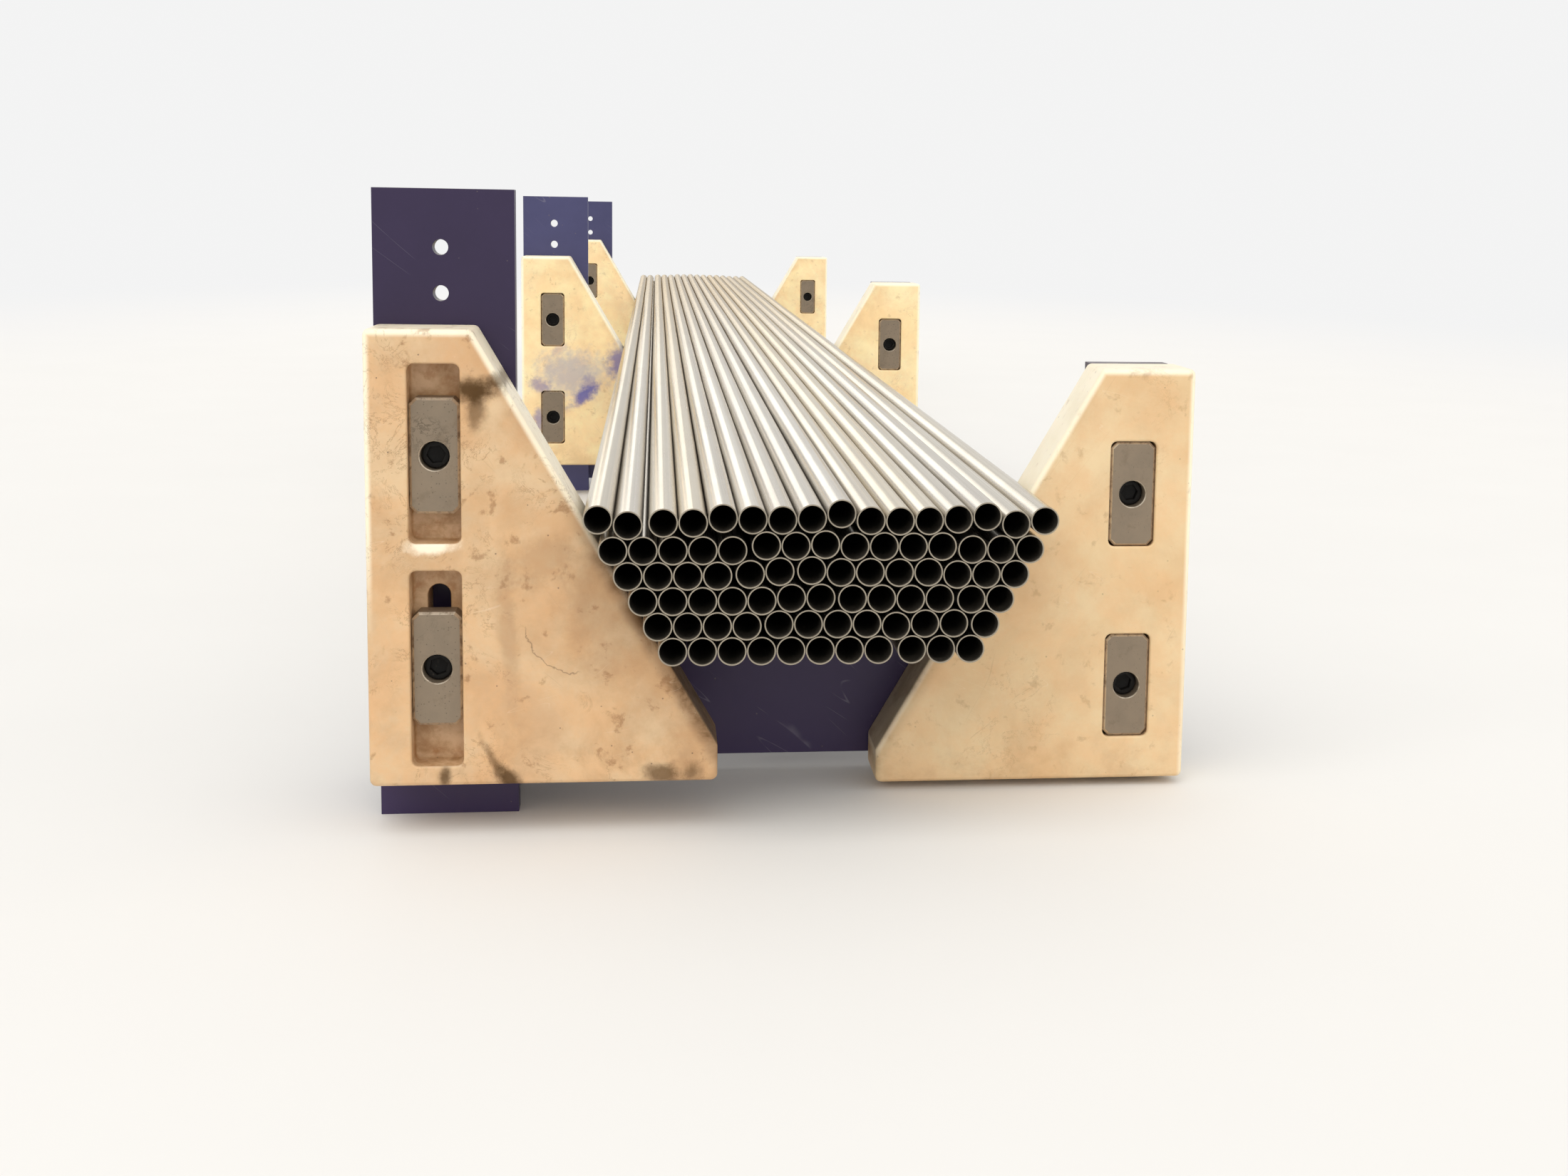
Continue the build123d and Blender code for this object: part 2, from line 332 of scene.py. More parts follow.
def scratches_group():
    """Thin straight scratches that fade in and out."""
    name = "Scratches"
    if name in bpy.data.node_groups:
        return bpy.data.node_groups[name]
    tree, given, result = new_group(
        name,
        (("Vector", VECTOR, None), ("Scale", FLOAT, 8.0), ("Turn", FLOAT, 0.6),
         ("Width", FLOAT, 0.012)),
        (("Mask", FLOAT),))
    axis = node(tree, "ShaderNodeVectorRotate", {
        "Vector": given.outputs["Vector"], "Angle": given.outputs["Turn"]},
        rotation_type="AXIS_ANGLE")
    axis.inputs["Axis"].default_value = (0.0, 1.0, 0.0)
    long = vector_node(tree, "MULTIPLY", axis.outputs[0], (1.0, 1.0, 0.09))
    noise = node(tree, "ShaderNodeTexNoise", {
        "Vector": long, "Scale": given.outputs["Scale"], "Detail": 1.0, "Distortion": 0.1})
    from_middle = math_node(
        tree, "ABSOLUTE", math_node(tree, "SUBTRACT", noise.outputs["Fac"], 0.5))
    thin = ramp(tree, from_middle, 0.0, given.outputs["Width"], 1.0, 0.0)
    broken = node(tree, "ShaderNodeTexNoise", {
        "Vector": given.outputs["Vector"], "Scale": 21.0, "Detail": 2.0})
    seen = ramp(tree, broken.outputs["Fac"], 0.52, 0.62)
    plug(tree, result.inputs["Mask"], math_node(tree, "MULTIPLY", thin, seen))
    return tree


def dust_group():
    """Dust on faces that look up."""
    name = "Settled dust"
    if name in bpy.data.node_groups:
        return bpy.data.node_groups[name]
    tree, given, result = new_group(
        name,
        (("Vector", VECTOR, None), ("Amount", FLOAT, 0.5)),
        (("Mask", FLOAT),))
    facing = node(tree, "ShaderNodeNewGeometry")
    parts = node(tree, "ShaderNodeSeparateXYZ", {0: facing.outputs["Normal"]})
    up = ramp(tree, parts.outputs["Z"], 0.2, 0.9)
    noise = node(tree, "ShaderNodeTexNoise", {
        "Vector": given.outputs["Vector"], "Scale": 40.0, "Detail": 5.0, "Roughness": 0.6})
    uneven = ramp(tree, noise.outputs["Fac"], 0.3, 0.7, 0.3, 1.0)
    both = math_node(tree, "MULTIPLY", up, uneven)
    plug(tree, result.inputs["Mask"], math_node(tree, "MULTIPLY", both, given.outputs["Amount"]))
    return tree


def veins_group():
    """Thin ragged lines of dirt, in some places only."""
    name = "Dirt veins"
    if name in bpy.data.node_groups:
        return bpy.data.node_groups[name]
    tree, given, result = new_group(
        name,
        (("Vector", VECTOR, None), ("Scale", FLOAT, 25.0), ("Width", FLOAT, 0.01),
         ("Cover", FLOAT, 0.45)),
        (("Mask", FLOAT),))
    noise = node(tree, "ShaderNodeTexNoise", {
        "Vector": given.outputs["Vector"], "Scale": given.outputs["Scale"],
        "Detail": 10.0, "Roughness": 0.72, "Distortion": 0.7})
    from_middle = math_node(
        tree, "ABSOLUTE", math_node(tree, "SUBTRACT", noise.outputs["Fac"], 0.5))
    thin = ramp(tree, from_middle, 0.0, given.outputs["Width"], 1.0, 0.0)
    places = node(tree, "ShaderNodeTexNoise", {
        "Vector": given.outputs["Vector"], "Scale": 9.0, "Detail": 4.0, "Roughness": 0.6})
    level = math_node(tree, "SUBTRACT", 1.0, given.outputs["Cover"])
    seen = ramp(tree, places.outputs["Fac"], level, math_node(tree, "ADD", level, 0.12))
    plug(tree, result.inputs["Mask"], math_node(tree, "MULTIPLY", thin, seen))
    return tree


def arc_group():
    """A thin uneven arc, as a crack leaves, round a middle point on a chock's face."""
    name = "Crack arc"
    if name in bpy.data.node_groups:
        return bpy.data.node_groups[name]
    tree, given, result = new_group(
        name,
        (("Vector", VECTOR, None), ("Middle", VECTOR, None), ("Radius", FLOAT, 0.04),
         ("Width", FLOAT, 0.001)),
        (("Mask", FLOAT),))
    moved = vector_node(tree, "SUBTRACT", given.outputs["Vector"], given.outputs["Middle"])
    flat = vector_node(tree, "MULTIPLY", moved, (1.0, 0.0, 1.0))
    noise = node(tree, "ShaderNodeTexNoise", {
        "Vector": given.outputs["Vector"], "Scale": 32.0, "Detail": 6.0, "Roughness": 0.6})
    swing = math_node(tree, "MULTIPLY", math_node(tree, "SUBTRACT", noise.outputs["Fac"], 0.5), 0.026)
    reach = math_node(tree, "ADD", vector_node(tree, "LENGTH", flat), swing)
    off = math_node(tree, "ABSOLUTE", math_node(tree, "SUBTRACT", reach, given.outputs["Radius"]))
    thin = ramp(tree, off, 0.0, given.outputs["Width"], 1.0, 0.0)
    parts = node(tree, "ShaderNodeSeparateXYZ", {0: moved})
    below = ramp(tree, parts.outputs["Z"], -0.006, 0.004, 1.0, 0.0)
    beside = ramp(tree, parts.outputs["X"], 0.0, 0.008, 1.0, 0.0)
    part = math_node(tree, "MULTIPLY", below, beside)
    plug(tree, result.inputs["Mask"], math_node(tree, "MULTIPLY", thin, part))
    return tree


def smudge_group():
    """One soft oval mark with a ragged rim, round a middle point on a chock's face."""
    name = "Smudge"
    if name in bpy.data.node_groups:
        return bpy.data.node_groups[name]
    tree, given, result = new_group(
        name,
        (("Vector", VECTOR, None), ("Middle", VECTOR, None), ("Turn", FLOAT, 0.0),
         ("Length", FLOAT, 0.02), ("Width", FLOAT, 0.01), ("Ragged", FLOAT, 0.6)),
        (("Mask", FLOAT),))
    moved = vector_node(tree, "SUBTRACT", given.outputs["Vector"], given.outputs["Middle"])
    turned = node(tree, "ShaderNodeVectorRotate", {
        "Vector": moved, "Angle": given.outputs["Turn"]}, rotation_type="AXIS_ANGLE")
    turned.inputs["Axis"].default_value = (0.0, 1.0, 0.0)
    parts = node(tree, "ShaderNodeSeparateXYZ", {0: turned.outputs[0]})
    across = math_node(tree, "DIVIDE", parts.outputs["X"], given.outputs["Length"])
    upward = math_node(tree, "DIVIDE", parts.outputs["Z"], given.outputs["Width"])
    flat = node(tree, "ShaderNodeCombineXYZ", {"X": across, "Y": upward})
    distance = vector_node(tree, "LENGTH", flat.outputs[0])
    noise = node(tree, "ShaderNodeTexNoise", {
        "Vector": given.outputs["Vector"], "Scale": 70.0, "Detail": 6.0, "Roughness": 0.65})
    uneven = math_node(tree, "MULTIPLY", math_node(
        tree, "SUBTRACT", noise.outputs["Fac"], 0.5), math_node(
        tree, "MULTIPLY", given.outputs["Ragged"], 2.0))
    plug(tree, result.inputs["Mask"], ramp(
        tree, math_node(tree, "ADD", distance, uneven), 0.2, 1.0, 1.0, 0.0))
    return tree


class Finish:
    """A material, with its tree, its Principled shader and the object's own coordinates."""

    def __init__(self, name):
        self.material = bpy.data.materials.new(name)
        self.material.use_nodes = True
        self.tree = self.material.node_tree
        self.shader = self.tree.nodes["Principled BSDF"]
        self.place = node(self.tree, "ShaderNodeTexCoord").outputs["Object"]

    def effect(self, group, **inputs):
        """Place a shared effect with this material's own values."""
        made = node(self.tree, "ShaderNodeGroup", node_tree=group)
        plug(self.tree, made.inputs["Vector"], self.place)
        for name, value in inputs.items():
            plug(self.tree, made.inputs[name], value)
        return made.outputs[0]

    def attribute(self, name):
        """A value that the mesh carries."""
        made = node(self.tree, "ShaderNodeAttribute", attribute_name=name)
        return made.outputs["Fac"]

    def surface(self, colour, roughness, metallic, height=None, strength=0.2, distance=0.001):
        """Feed the shader."""
        plug(self.tree, self.shader.inputs["Base Color"], colour)
        plug(self.tree, self.shader.inputs["Roughness"], roughness)
        plug(self.tree, self.shader.inputs["Metallic"], metallic)
        if height is not None:
            bump = node(self.tree, "ShaderNodeBump", {
                "Height": height, "Strength": strength, "Distance": distance})
            plug(self.tree, self.shader.inputs["Normal"], bump.outputs[0])
        return self.material


# Finishes

def drawn_lines(finish, scale, stretch, shift):
    """Fine lines along the tubes, as drawing and rolling leave them."""
    tree = finish.tree
    parts = node(tree, "ShaderNodeSeparateXYZ", {0: finish.place})
    squeezed = node(tree, "ShaderNodeCombineXYZ", {
        "X": parts.outputs["X"],
        "Y": math_node(tree, "MULTIPLY", parts.outputs["Y"], stretch),
        "Z": parts.outputs["Z"]})
    noise = node(tree, "ShaderNodeTexNoise", {
        "Vector": squeezed.outputs[0], "W": shift, "Scale": scale, "Detail": 3.0,
        "Roughness": 0.62}, noise_dimensions="4D")
    return ramp(tree, noise.outputs["Fac"], 0.3, 0.7)


def turned_part(finish, axis, stretch, scale, detail, swing):
    """How far a tube's side turns to an axis, made uneven along the tube."""
    tree = finish.tree
    facing = node(tree, "ShaderNodeNewGeometry")
    parts = node(tree, "ShaderNodeSeparateXYZ", {0: facing.outputs["Normal"]})
    long = vector_node(tree, "MULTIPLY", finish.place, (1.0, stretch, 1.0))
    noise = node(tree, "ShaderNodeTexNoise", {"Vector": long, "Scale": scale, "Detail": detail})
    return math_node(tree, "ADD", parts.outputs[axis], math_node(
        tree, "MULTIPLY", math_node(tree, "SUBTRACT", noise.outputs["Fac"], 0.5), swing))


def steel_finish(settings):
    """Bright steel of a tube's outside: fine lines along it, with painted shade on its lower sides and +X flanks
    and towards the far end.
    """
    finish = Finish("Bright steel")
    tree = finish.tree
    tone = finish.attribute("tube_tone")
    shift = math_node(tree, "MULTIPLY", tone, 40.0)
    fine = drawn_lines(finish, 700.0, 0.0006, shift)
    broad = drawn_lines(finish, 120.0, 0.002, shift)
    cloudy = finish.effect(patches_group(), Scale=5.0, Cover=0.5, Softness=0.25, Shift=shift)
    marks = finish.effect(specks_group(), Scale=120.0, Size=0.14, Share=0.05)
    # Painted shade: a mask of the tubes' sides that face sideways and down, where neighbouring tubes shade each
    # other.
    painted_underside_shade = ramp(tree, turned_part(finish, "Z", 0.05, 60.0, 3.0, 0.5), 0.05, 0.5, 1.0, 0.0)
    painted_underside_shade = math_node(tree, "MULTIPLY", painted_underside_shade, 0.5)
    along = node(tree, "ShaderNodeSeparateXYZ", {0: finish.place}).outputs["Y"]
    # Painted shade: a mask that grows towards the far end of the tubes.
    far_end_shade = ramp(tree, along, -2.6, 2.0)
    # Painted shade: a mask of the tubes' sides that turn to +X.
    painted_flank_shade = ramp(tree, turned_part(finish, "X", 0.03, 90.0, 2.0, 0.3), 0.05, 0.6)
    steel = full(settings.steel)
    colour = blend(tree, ramp(tree, broad, 0.0, 1.0, 0.32, 0.0), steel, full((0.60, 0.575, 0.53)))
    colour = blend(tree, ramp(tree, fine, 0.0, 1.0, 0.16, 0.0), colour, full((0.46, 0.44, 0.41)))
    colour = blend(tree, ramp(tree, tone, 0.4, 1.0, 0.0, 0.5), colour, full((0.80, 0.735, 0.63)))
    colour = blend(tree, ramp(tree, tone, 0.3, 0.0, 0.0, 0.4), colour, full((0.70, 0.68, 0.67)))
    colour = blend(tree, ramp(tree, cloudy, 0.0, 1.0, 0.0, 0.2), colour, full((0.72, 0.65, 0.59)))
    colour = blend(tree, math_node(tree, "MULTIPLY", marks, 0.5), colour, full((0.16, 0.13, 0.1)))
    # Painted shade: these lower sides are darkened towards near black.
    colour = blend(tree, painted_underside_shade, colour, full((0.15, 0.13, 0.11)))
    rough = math_node(tree, "ADD", 0.20, math_node(tree, "MULTIPLY", fine, 0.05))
    rough = math_node(tree, "ADD", rough, math_node(tree, "MULTIPLY", cloudy, 0.05))
    rough = math_node(tree, "ADD", rough, math_node(tree, "MULTIPLY", painted_underside_shade, 0.3))
    sheen = blend(tree, tone, full((1.0, 0.975, 0.925)), full((0.99, 0.94, 0.84)))
    sheen = blend(tree, ramp(tree, broad, 0.0, 1.0, 0.45, 0.0), sheen, full((0.80, 0.76, 0.70)))
    sheen = blend(tree, ramp(tree, fine, 0.0, 1.0, 0.30, 0.0), sheen, full((0.66, 0.63, 0.56)))
    # Painted shade: the reflection's tint is darkened on the +X flanks.
    sheen = blend(tree, math_node(tree, "MULTIPLY", painted_flank_shade, 0.5), sheen, full((0.68, 0.645, 0.595)))
    # Painted shade: the reflection's tint is darkened on these lower sides as well.
    sheen = blend(tree, painted_underside_shade, sheen, full((0.38, 0.33, 0.27)))
    # Painted shade: the reflection's tint is dimmed towards the far end.
    sheen = blend(tree, far_end_shade, sheen, full((0.78, 0.70, 0.58)), mode="MULTIPLY")
    plug(tree, finish.shader.inputs["Specular Tint"], sheen)
    return finish.surface(colour, rough, 1.0, fine, 0.05, 0.0001)


def bore_finish(settings):
    """Dark scaled wall inside a tube, with painted light on its last few millimetres at each end."""
    finish = Finish("Tube bore")
    tree = finish.tree
    parts = node(tree, "ShaderNodeSeparateXYZ", {0: finish.place})
    from_middle = math_node(tree, "ABSOLUTE", parts.outputs["Y"])
    # Painted light: a mask of the last few millimetres of the bore at each end.
    painted_mouth_light = ramp(tree, from_middle, 2.9955, 2.9995)
    scale = finish.effect(patches_group(), Scale=60.0, Cover=0.45, Softness=0.15)
    colour = blend(tree, scale, full(settings.bore), full(settings.bore, 1.9))
    # Painted light: there the bore is paled towards the sawn end's colour.
    colour = blend(tree, painted_mouth_light, colour, full(settings.cut, 0.62))
    rough = math_node(tree, "ADD", 0.5, math_node(tree, "MULTIPLY", scale, 0.2))
    return finish.surface(colour, rough, 0.35, scale, 0.2, 0.0003)


def cut_finish(settings):
    """Sawn end of a tube."""
    finish = Finish("Sawn end")
    tree = finish.tree
    teeth = node(tree, "ShaderNodeTexNoise", {
        "Vector": vector_node(tree, "MULTIPLY", finish.place, (1.0, 1.0, 9.0)),
        "Scale": 420.0, "Detail": 3.0})
    tone = finish.attribute("tube_tone")
    colour = blend(tree, tone, full(settings.cut, 0.9), full(settings.cut, 1.08))
    colour = blend(tree, ramp(tree, teeth.outputs["Fac"], 0.35, 0.7), colour, full(settings.cut, 0.84))
    return finish.surface(colour, 0.36, 0.35, teeth.outputs["Fac"], 0.2, 0.0002)


# Marks on the front faces of single chocks: middle X and Z, length, width, turn in degrees,
# strength and colour
OIL = (0.065, 0.026, 0.0)
BLUE = (0.12, 0.115, 0.36)
GREY = (0.31, 0.165, 0.075)
HAZE = (0.46, 0.42, 0.44)
CHIP = (0.95, 0.84, 0.66)
SMUDGES = {
    "chock_left_1": (
        (-0.289, 0.400, 0.032, 0.018, 6.0, 0.95, OIL),
        (-0.266, 0.410, 0.026, 0.011, 24.0, 0.7, OIL),
        (-0.287, 0.384, 0.013, 0.026, -8.0, 0.65, OIL),
        (-0.328, 0.2625, 0.032, 0.010, 3.0, 1.0, CHIP),
        (-0.277, 0.072, 0.030, 0.006, -62.0, 0.6, OIL),
        (-0.262, 0.053, 0.022, 0.012, -45.0, 0.9, OIL),
        (-0.127, 0.056, 0.026, 0.013, -6.0, 0.75, OIL),
        (-0.318, 0.055, 0.008, 0.015, 0.0, 0.8, OIL),
        (-0.262, 0.190, 0.014, 0.085, 4.0, 0.36, GREY),
        (-0.186, 0.200, 0.040, 0.075, 12.0, 0.30, GREY),
        (-0.100, 0.056, 0.014, 0.013, 30.0, 0.65, OIL),
        (-0.230, 0.250, 0.050, 0.030, 30.0, 0.35, GREY),
    ),
    "chock_left_2": (
        (-0.296, 0.240, 0.095, 0.065, 0.0, 0.75, HAZE),
        (-0.355, 0.214, 0.034, 0.020, -20.0, 0.55, BLUE),
        (-0.272, 0.196, 0.050, 0.018, 40.0, 0.9, BLUE),
        (-0.204, 0.262, 0.030, 0.050, 10.0, 0.75, BLUE),
        (-0.262, 0.222, 0.022, 0.026, 20.0, 0.5, BLUE),
        (-0.358, 0.150, 0.018, 0.034, 0.0, 0.65, BLUE),
        (-0.318, 0.288, 0.026, 0.014, 30.0, 0.3, BLUE),
    ),
}


def plastic_finish(name, settings, side, chock_box, smudges=(), dirt=1.0, pale=0.0):
    """Cream plastic of a chock: dirt along the slope and low down, marks, scuffs and scratches, and painted
    highlights on its slope face, top and outer edges.
    """
    finish = Finish(name)
    tree = finish.tree
    cream, plastic = (
        full([part + (1.0 - part) * lift * pale for part, lift in zip(base, (0.92, 0.64, 0.27))])
        for base in (settings.cream, settings.plastic))
    low, high = chock_box
    sign = -1.0 if side == "left" else 1.0
    outer = low.x if side == "left" else high.x
    slope = math.radians(60.0)
    normal = Vector((-sign * math.sin(slope), 0.0, math.cos(slope)))
    corner = Vector((outer - sign * settings.top_width, 0.0, high.z))
    reach = vector_node(tree, "DOT_PRODUCT", finish.place, tuple(normal))
    depth = math_node(tree, "SUBTRACT", normal.dot(corner), reach)
    parts = node(tree, "ShaderNodeSeparateXYZ", {0: finish.place})

    grain = node(tree, "ShaderNodeTexNoise", {
        "Vector": finish.place, "Scale": 700.0, "Detail": 2.0})
    mottle = finish.effect(patches_group(), Scale=7.0, Cover=0.5, Softness=0.22)
    blotch = finish.effect(patches_group(), Scale=19.0, Cover=0.5, Softness=0.2, Shift=2.0)
    soil = finish.effect(patches_group(), Scale=16.0, Cover=0.46, Softness=0.14, Shift=6.0)
    spots = finish.effect(patches_group(), Scale=50.0, Cover=0.38, Softness=0.05, Shift=4.0)
    scuffs = finish.effect(scratches_group(), Scale=29.0, Turn=0.62 * -sign, Width=0.003)
    hair = finish.effect(scratches_group(), Scale=60.0, Turn=1.25 * sign, Width=0.004)
    flecks = finish.effect(specks_group(), Scale=110.0, Size=0.2, Share=0.14)
    dust = finish.effect(dust_group(), Amount=0.22 * dirt)

    veins = finish.effect(veins_group(), Scale=26.0, Width=0.010, Cover=0.39 + 0.16 * dirt)
    colour = blend(tree, ramp(tree, mottle, 0.0, 1.0, 0.0, 0.9), plastic, cream)
    peach = full((0.72, 0.42, 0.20), 1.0 + 0.3 * pale)
    colour = blend(tree, ramp(tree, blotch, 0.0, 1.0, 0.0, 0.2 + 0.4 * dirt), colour, peach)
    grime = full((0.38, 0.215, 0.10))
    colour = blend(tree, math_node(tree, "MULTIPLY", soil, 0.32 * dirt), colour, grime)
    sooty = ramp(tree, depth, 0.0, 0.10, 0.20 * dirt, 0.0)
    colour = blend(tree, math_node(tree, "MULTIPLY", sooty, blotch), colour, grime)

    # Painted highlight: a mask of the slope face, the top and the outer face, fading over a few millimetres onto
    # the front face.
    rim = ramp(tree, depth, 0.002, 0.007, 1.0, 0.0)
    rim = math_node(tree, "MAXIMUM", rim, ramp(tree, parts.outputs["Z"], high.z - 0.008, high.z - 0.003))
    from_outer = math_node(tree, "MULTIPLY", math_node(tree, "SUBTRACT", outer, parts.outputs["X"]), sign)
    rim = math_node(tree, "MAXIMUM", rim, ramp(tree, from_outer, 0.002, 0.007, 1.0, 0.0))
    # The painted highlight fades low down, and more on dirtier chocks.
    clean = ramp(tree, parts.outputs["Z"], low.z + 0.12, low.z + 0.24, 1.0 - dirt, 0.85)
    # Painted highlight: these faces and edges are paled towards near white.
    colour = blend(tree, math_node(tree, "MULTIPLY", rim, clean), colour, full((0.98, 0.91, 0.71)))

    near_slope = ramp(tree, depth, 0.003, 0.018, 1.0, 0.0)
    slope_dirt = ramp(tree, soil, 0.0, 1.0, 0.5, 1.0)
    where = ramp(tree, parts.outputs["Z"], low.z + 0.30, low.z + 0.18, 0.12, 1.0)
    rubbed = math_node(tree, "MULTIPLY", math_node(tree, "MULTIPLY", near_slope, slope_dirt), where)
    colour = blend(tree, math_node(tree, "MULTIPLY", rubbed, dirt), colour, full(settings.stain))
    face = ramp(tree, depth, 0.0, 0.0015, 1.0, 0.0)
    face = math_node(tree, "MULTIPLY", face, ramp(
        tree, parts.outputs["Z"], low.z + 0.22, low.z + 0.15, 0.0, 0.95))
    colour = blend(tree, math_node(tree, "MULTIPLY", face, dirt), colour, full(settings.stain, 0.5))
    near_foot = ramp(tree, parts.outputs["Z"], low.z, low.z + 0.07, 1.0, 0.0)
    foot = math_node(tree, "MULTIPLY", near_foot, ramp(tree, soil, 0.0, 1.0, 0.0, 0.35 * dirt))
    colour = blend(tree, foot, colour, grime)

    colour = blend(tree, math_node(tree, "MULTIPLY", spots, 0.52 * dirt), colour,
                   full((0.24, 0.10, 0.025)))
    colour = blend(tree, math_node(tree, "MULTIPLY", veins, 0.65 * dirt), colour,
                   full((0.20, 0.085, 0.02)))
    colour = blend(tree, math_node(tree, "MULTIPLY", scuffs, 0.25), colour, full((0.33, 0.2, 0.1)))
    colour = blend(tree, math_node(tree, "MULTIPLY", hair, 0.2), colour, full((0.86, 0.72, 0.55)))
    colour = blend(tree, math_node(tree, "MULTIPLY", flecks, 0.65 * dirt), colour,
                   full((0.09, 0.055, 0.035)))
    if name.endswith("left 1"):
        crack = finish.effect(arc_group(), Middle=(-0.205, low.y, 0.190), Radius=0.0415, Width=0.0011)
        colour = blend(tree, math_node(tree, "MULTIPLY", crack, 0.6), colour, full(GREY, 0.5))
    dulled = math_node(tree, "MULTIPLY", rubbed, dirt)
    for x, z, length, width, turn, strength, tint in smudges:
        mark = finish.effect(smudge_group(), Middle=(x, low.y, z), Turn=math.radians(turn),
                             Length=length, Width=width)
        mark = math_node(tree, "MULTIPLY", mark, strength)
        colour = blend(tree, mark, colour, full(tint))
        dulled = math_node(tree, "MAXIMUM", dulled, mark)
    finish.shader.inputs["Specular IOR Level"].default_value = 0.4
    colour = blend(tree, dust, colour, full((0.72, 0.60, 0.46)))

    worn = math_node(tree, "ADD", 0.36, math_node(tree, "MULTIPLY", soil, 0.2))
    worn = math_node(tree, "ADD", worn, math_node(tree, "MULTIPLY", dulled, 0.4), clamp=True)
    height = math_node(
        tree, "SUBTRACT", grain.outputs["Fac"], math_node(tree, "MULTIPLY", scuffs, 1.5))
    finish.shader.inputs["Subsurface Weight"].default_value = 0.12
    finish.shader.inputs["Subsurface Radius"].default_value = (0.012, 0.007, 0.004)
    finish.shader.inputs["Subsurface Scale"].default_value = 1.0
    return finish.surface(colour, worn, 0.0, height, 0.08, 0.0004)


def pocket_finish(settings):
    """Oily, darkened plastic of a pocket's floor and walls."""
    finish = Finish("Pocket plastic")
    tree = finish.tree
    soil = finish.effect(patches_group(), Scale=34.0, Cover=0.5, Softness=0.16)
    rust = finish.effect(patches_group(), Scale=60.0, Cover=0.42, Softness=0.08, Shift=3.0)
    flecks = finish.effect(specks_group(), Scale=140.0, Size=0.22, Share=0.2)
    colour = blend(tree, soil, full((0.70, 0.48, 0.28)), full((0.42, 0.24, 0.11)))
    colour = blend(tree, math_node(tree, "MULTIPLY", rust, 0.5), colour, full((0.40, 0.17, 0.05)))
    colour = blend(tree, math_node(tree, "MULTIPLY", flecks, 0.6), colour, full((0.07, 0.04, 0.025)))
    rough = math_node(tree, "ADD", 0.45, math_node(tree, "MULTIPLY", soil, 0.2))
    return finish.surface(colour, rough, 0.0, soil, 0.15, 0.0006)


def zinc_finish(settings):
    """Dull zinc of the clamp plates, with dark specks."""
    finish = Finish("Dull zinc")
    tree = finish.tree
    cloudy = finish.effect(patches_group(), Scale=30.0, Cover=0.5, Softness=0.22)
    stains = finish.effect(patches_group(), Scale=55.0, Cover=0.40, Softness=0.08, Shift=5.0)
    flecks = finish.effect(specks_group(), Scale=330.0, Size=0.42, Share=0.5)
    veins = finish.effect(veins_group(), Scale=60.0, Width=0.02, Cover=0.42)
    colour = blend(tree, cloudy, full(settings.zinc), full(settings.zinc, 1.3))
    colour = blend(tree, math_node(tree, "MULTIPLY", veins, 0.8), colour, full((0.06, 0.045, 0.03)))
    colour = blend(tree, math_node(tree, "MULTIPLY", stains, 0.45), colour, full((0.13, 0.085, 0.045)))
    colour = blend(tree, math_node(tree, "MULTIPLY", flecks, 0.5), colour, full((0.06, 0.045, 0.035)))
    rough = math_node(tree, "ADD", 0.5, math_node(tree, "MULTIPLY", cloudy, 0.2))
    metal = math_node(tree, "SUBTRACT", 0.55, math_node(tree, "MULTIPLY", stains, 0.35))
    return finish.surface(colour, rough, metal, flecks, 0.2, 0.0003)


def worn_edge_finish():
    """Metal rubbed bright on the clamp plates' edges."""
    finish = Finish("Rubbed edge")
    tree = finish.tree
    dull = finish.effect(patches_group(), Scale=120.0, Cover=0.45, Softness=0.1)
    colour = blend(tree, dull, full((0.66, 0.58, 0.46)), full((0.34, 0.27, 0.2)))
    rough = math_node(tree, "ADD", 0.3, math_node(tree, "MULTIPLY", dull, 0.25))
    return finish.surface(colour, rough, 0.8, dull, 0.15, 0.0003)


def black_finish(settings):
    """Black finish of the socket screws, rubbed in places."""
    finish = Finish("Black screw")
    tree = finish.tree
    rubbed = finish.effect(patches_group(), Scale=150.0, Cover=0.34, Softness=0.08)
    noise = node(tree, "ShaderNodeTexNoise", {
        "Vector": finish.place, "Scale": 1500.0, "Detail": 3.0, "Roughness": 0.62})
    grain = ramp(tree, noise.outputs["Fac"], 0.3, 0.7)
    colour = blend(tree, math_node(tree, "MULTIPLY", rubbed, 0.3), full(settings.black), full((0.2, 0.16, 0.11)))
    rough = math_node(tree, "ADD", 0.5, math_node(tree, "MULTIPLY", grain, 0.15))
    finish.shader.inputs["Specular IOR Level"].default_value = 0.2
    return finish.surface(colour, rough, 0.0, grain, 0.1, 0.0002)


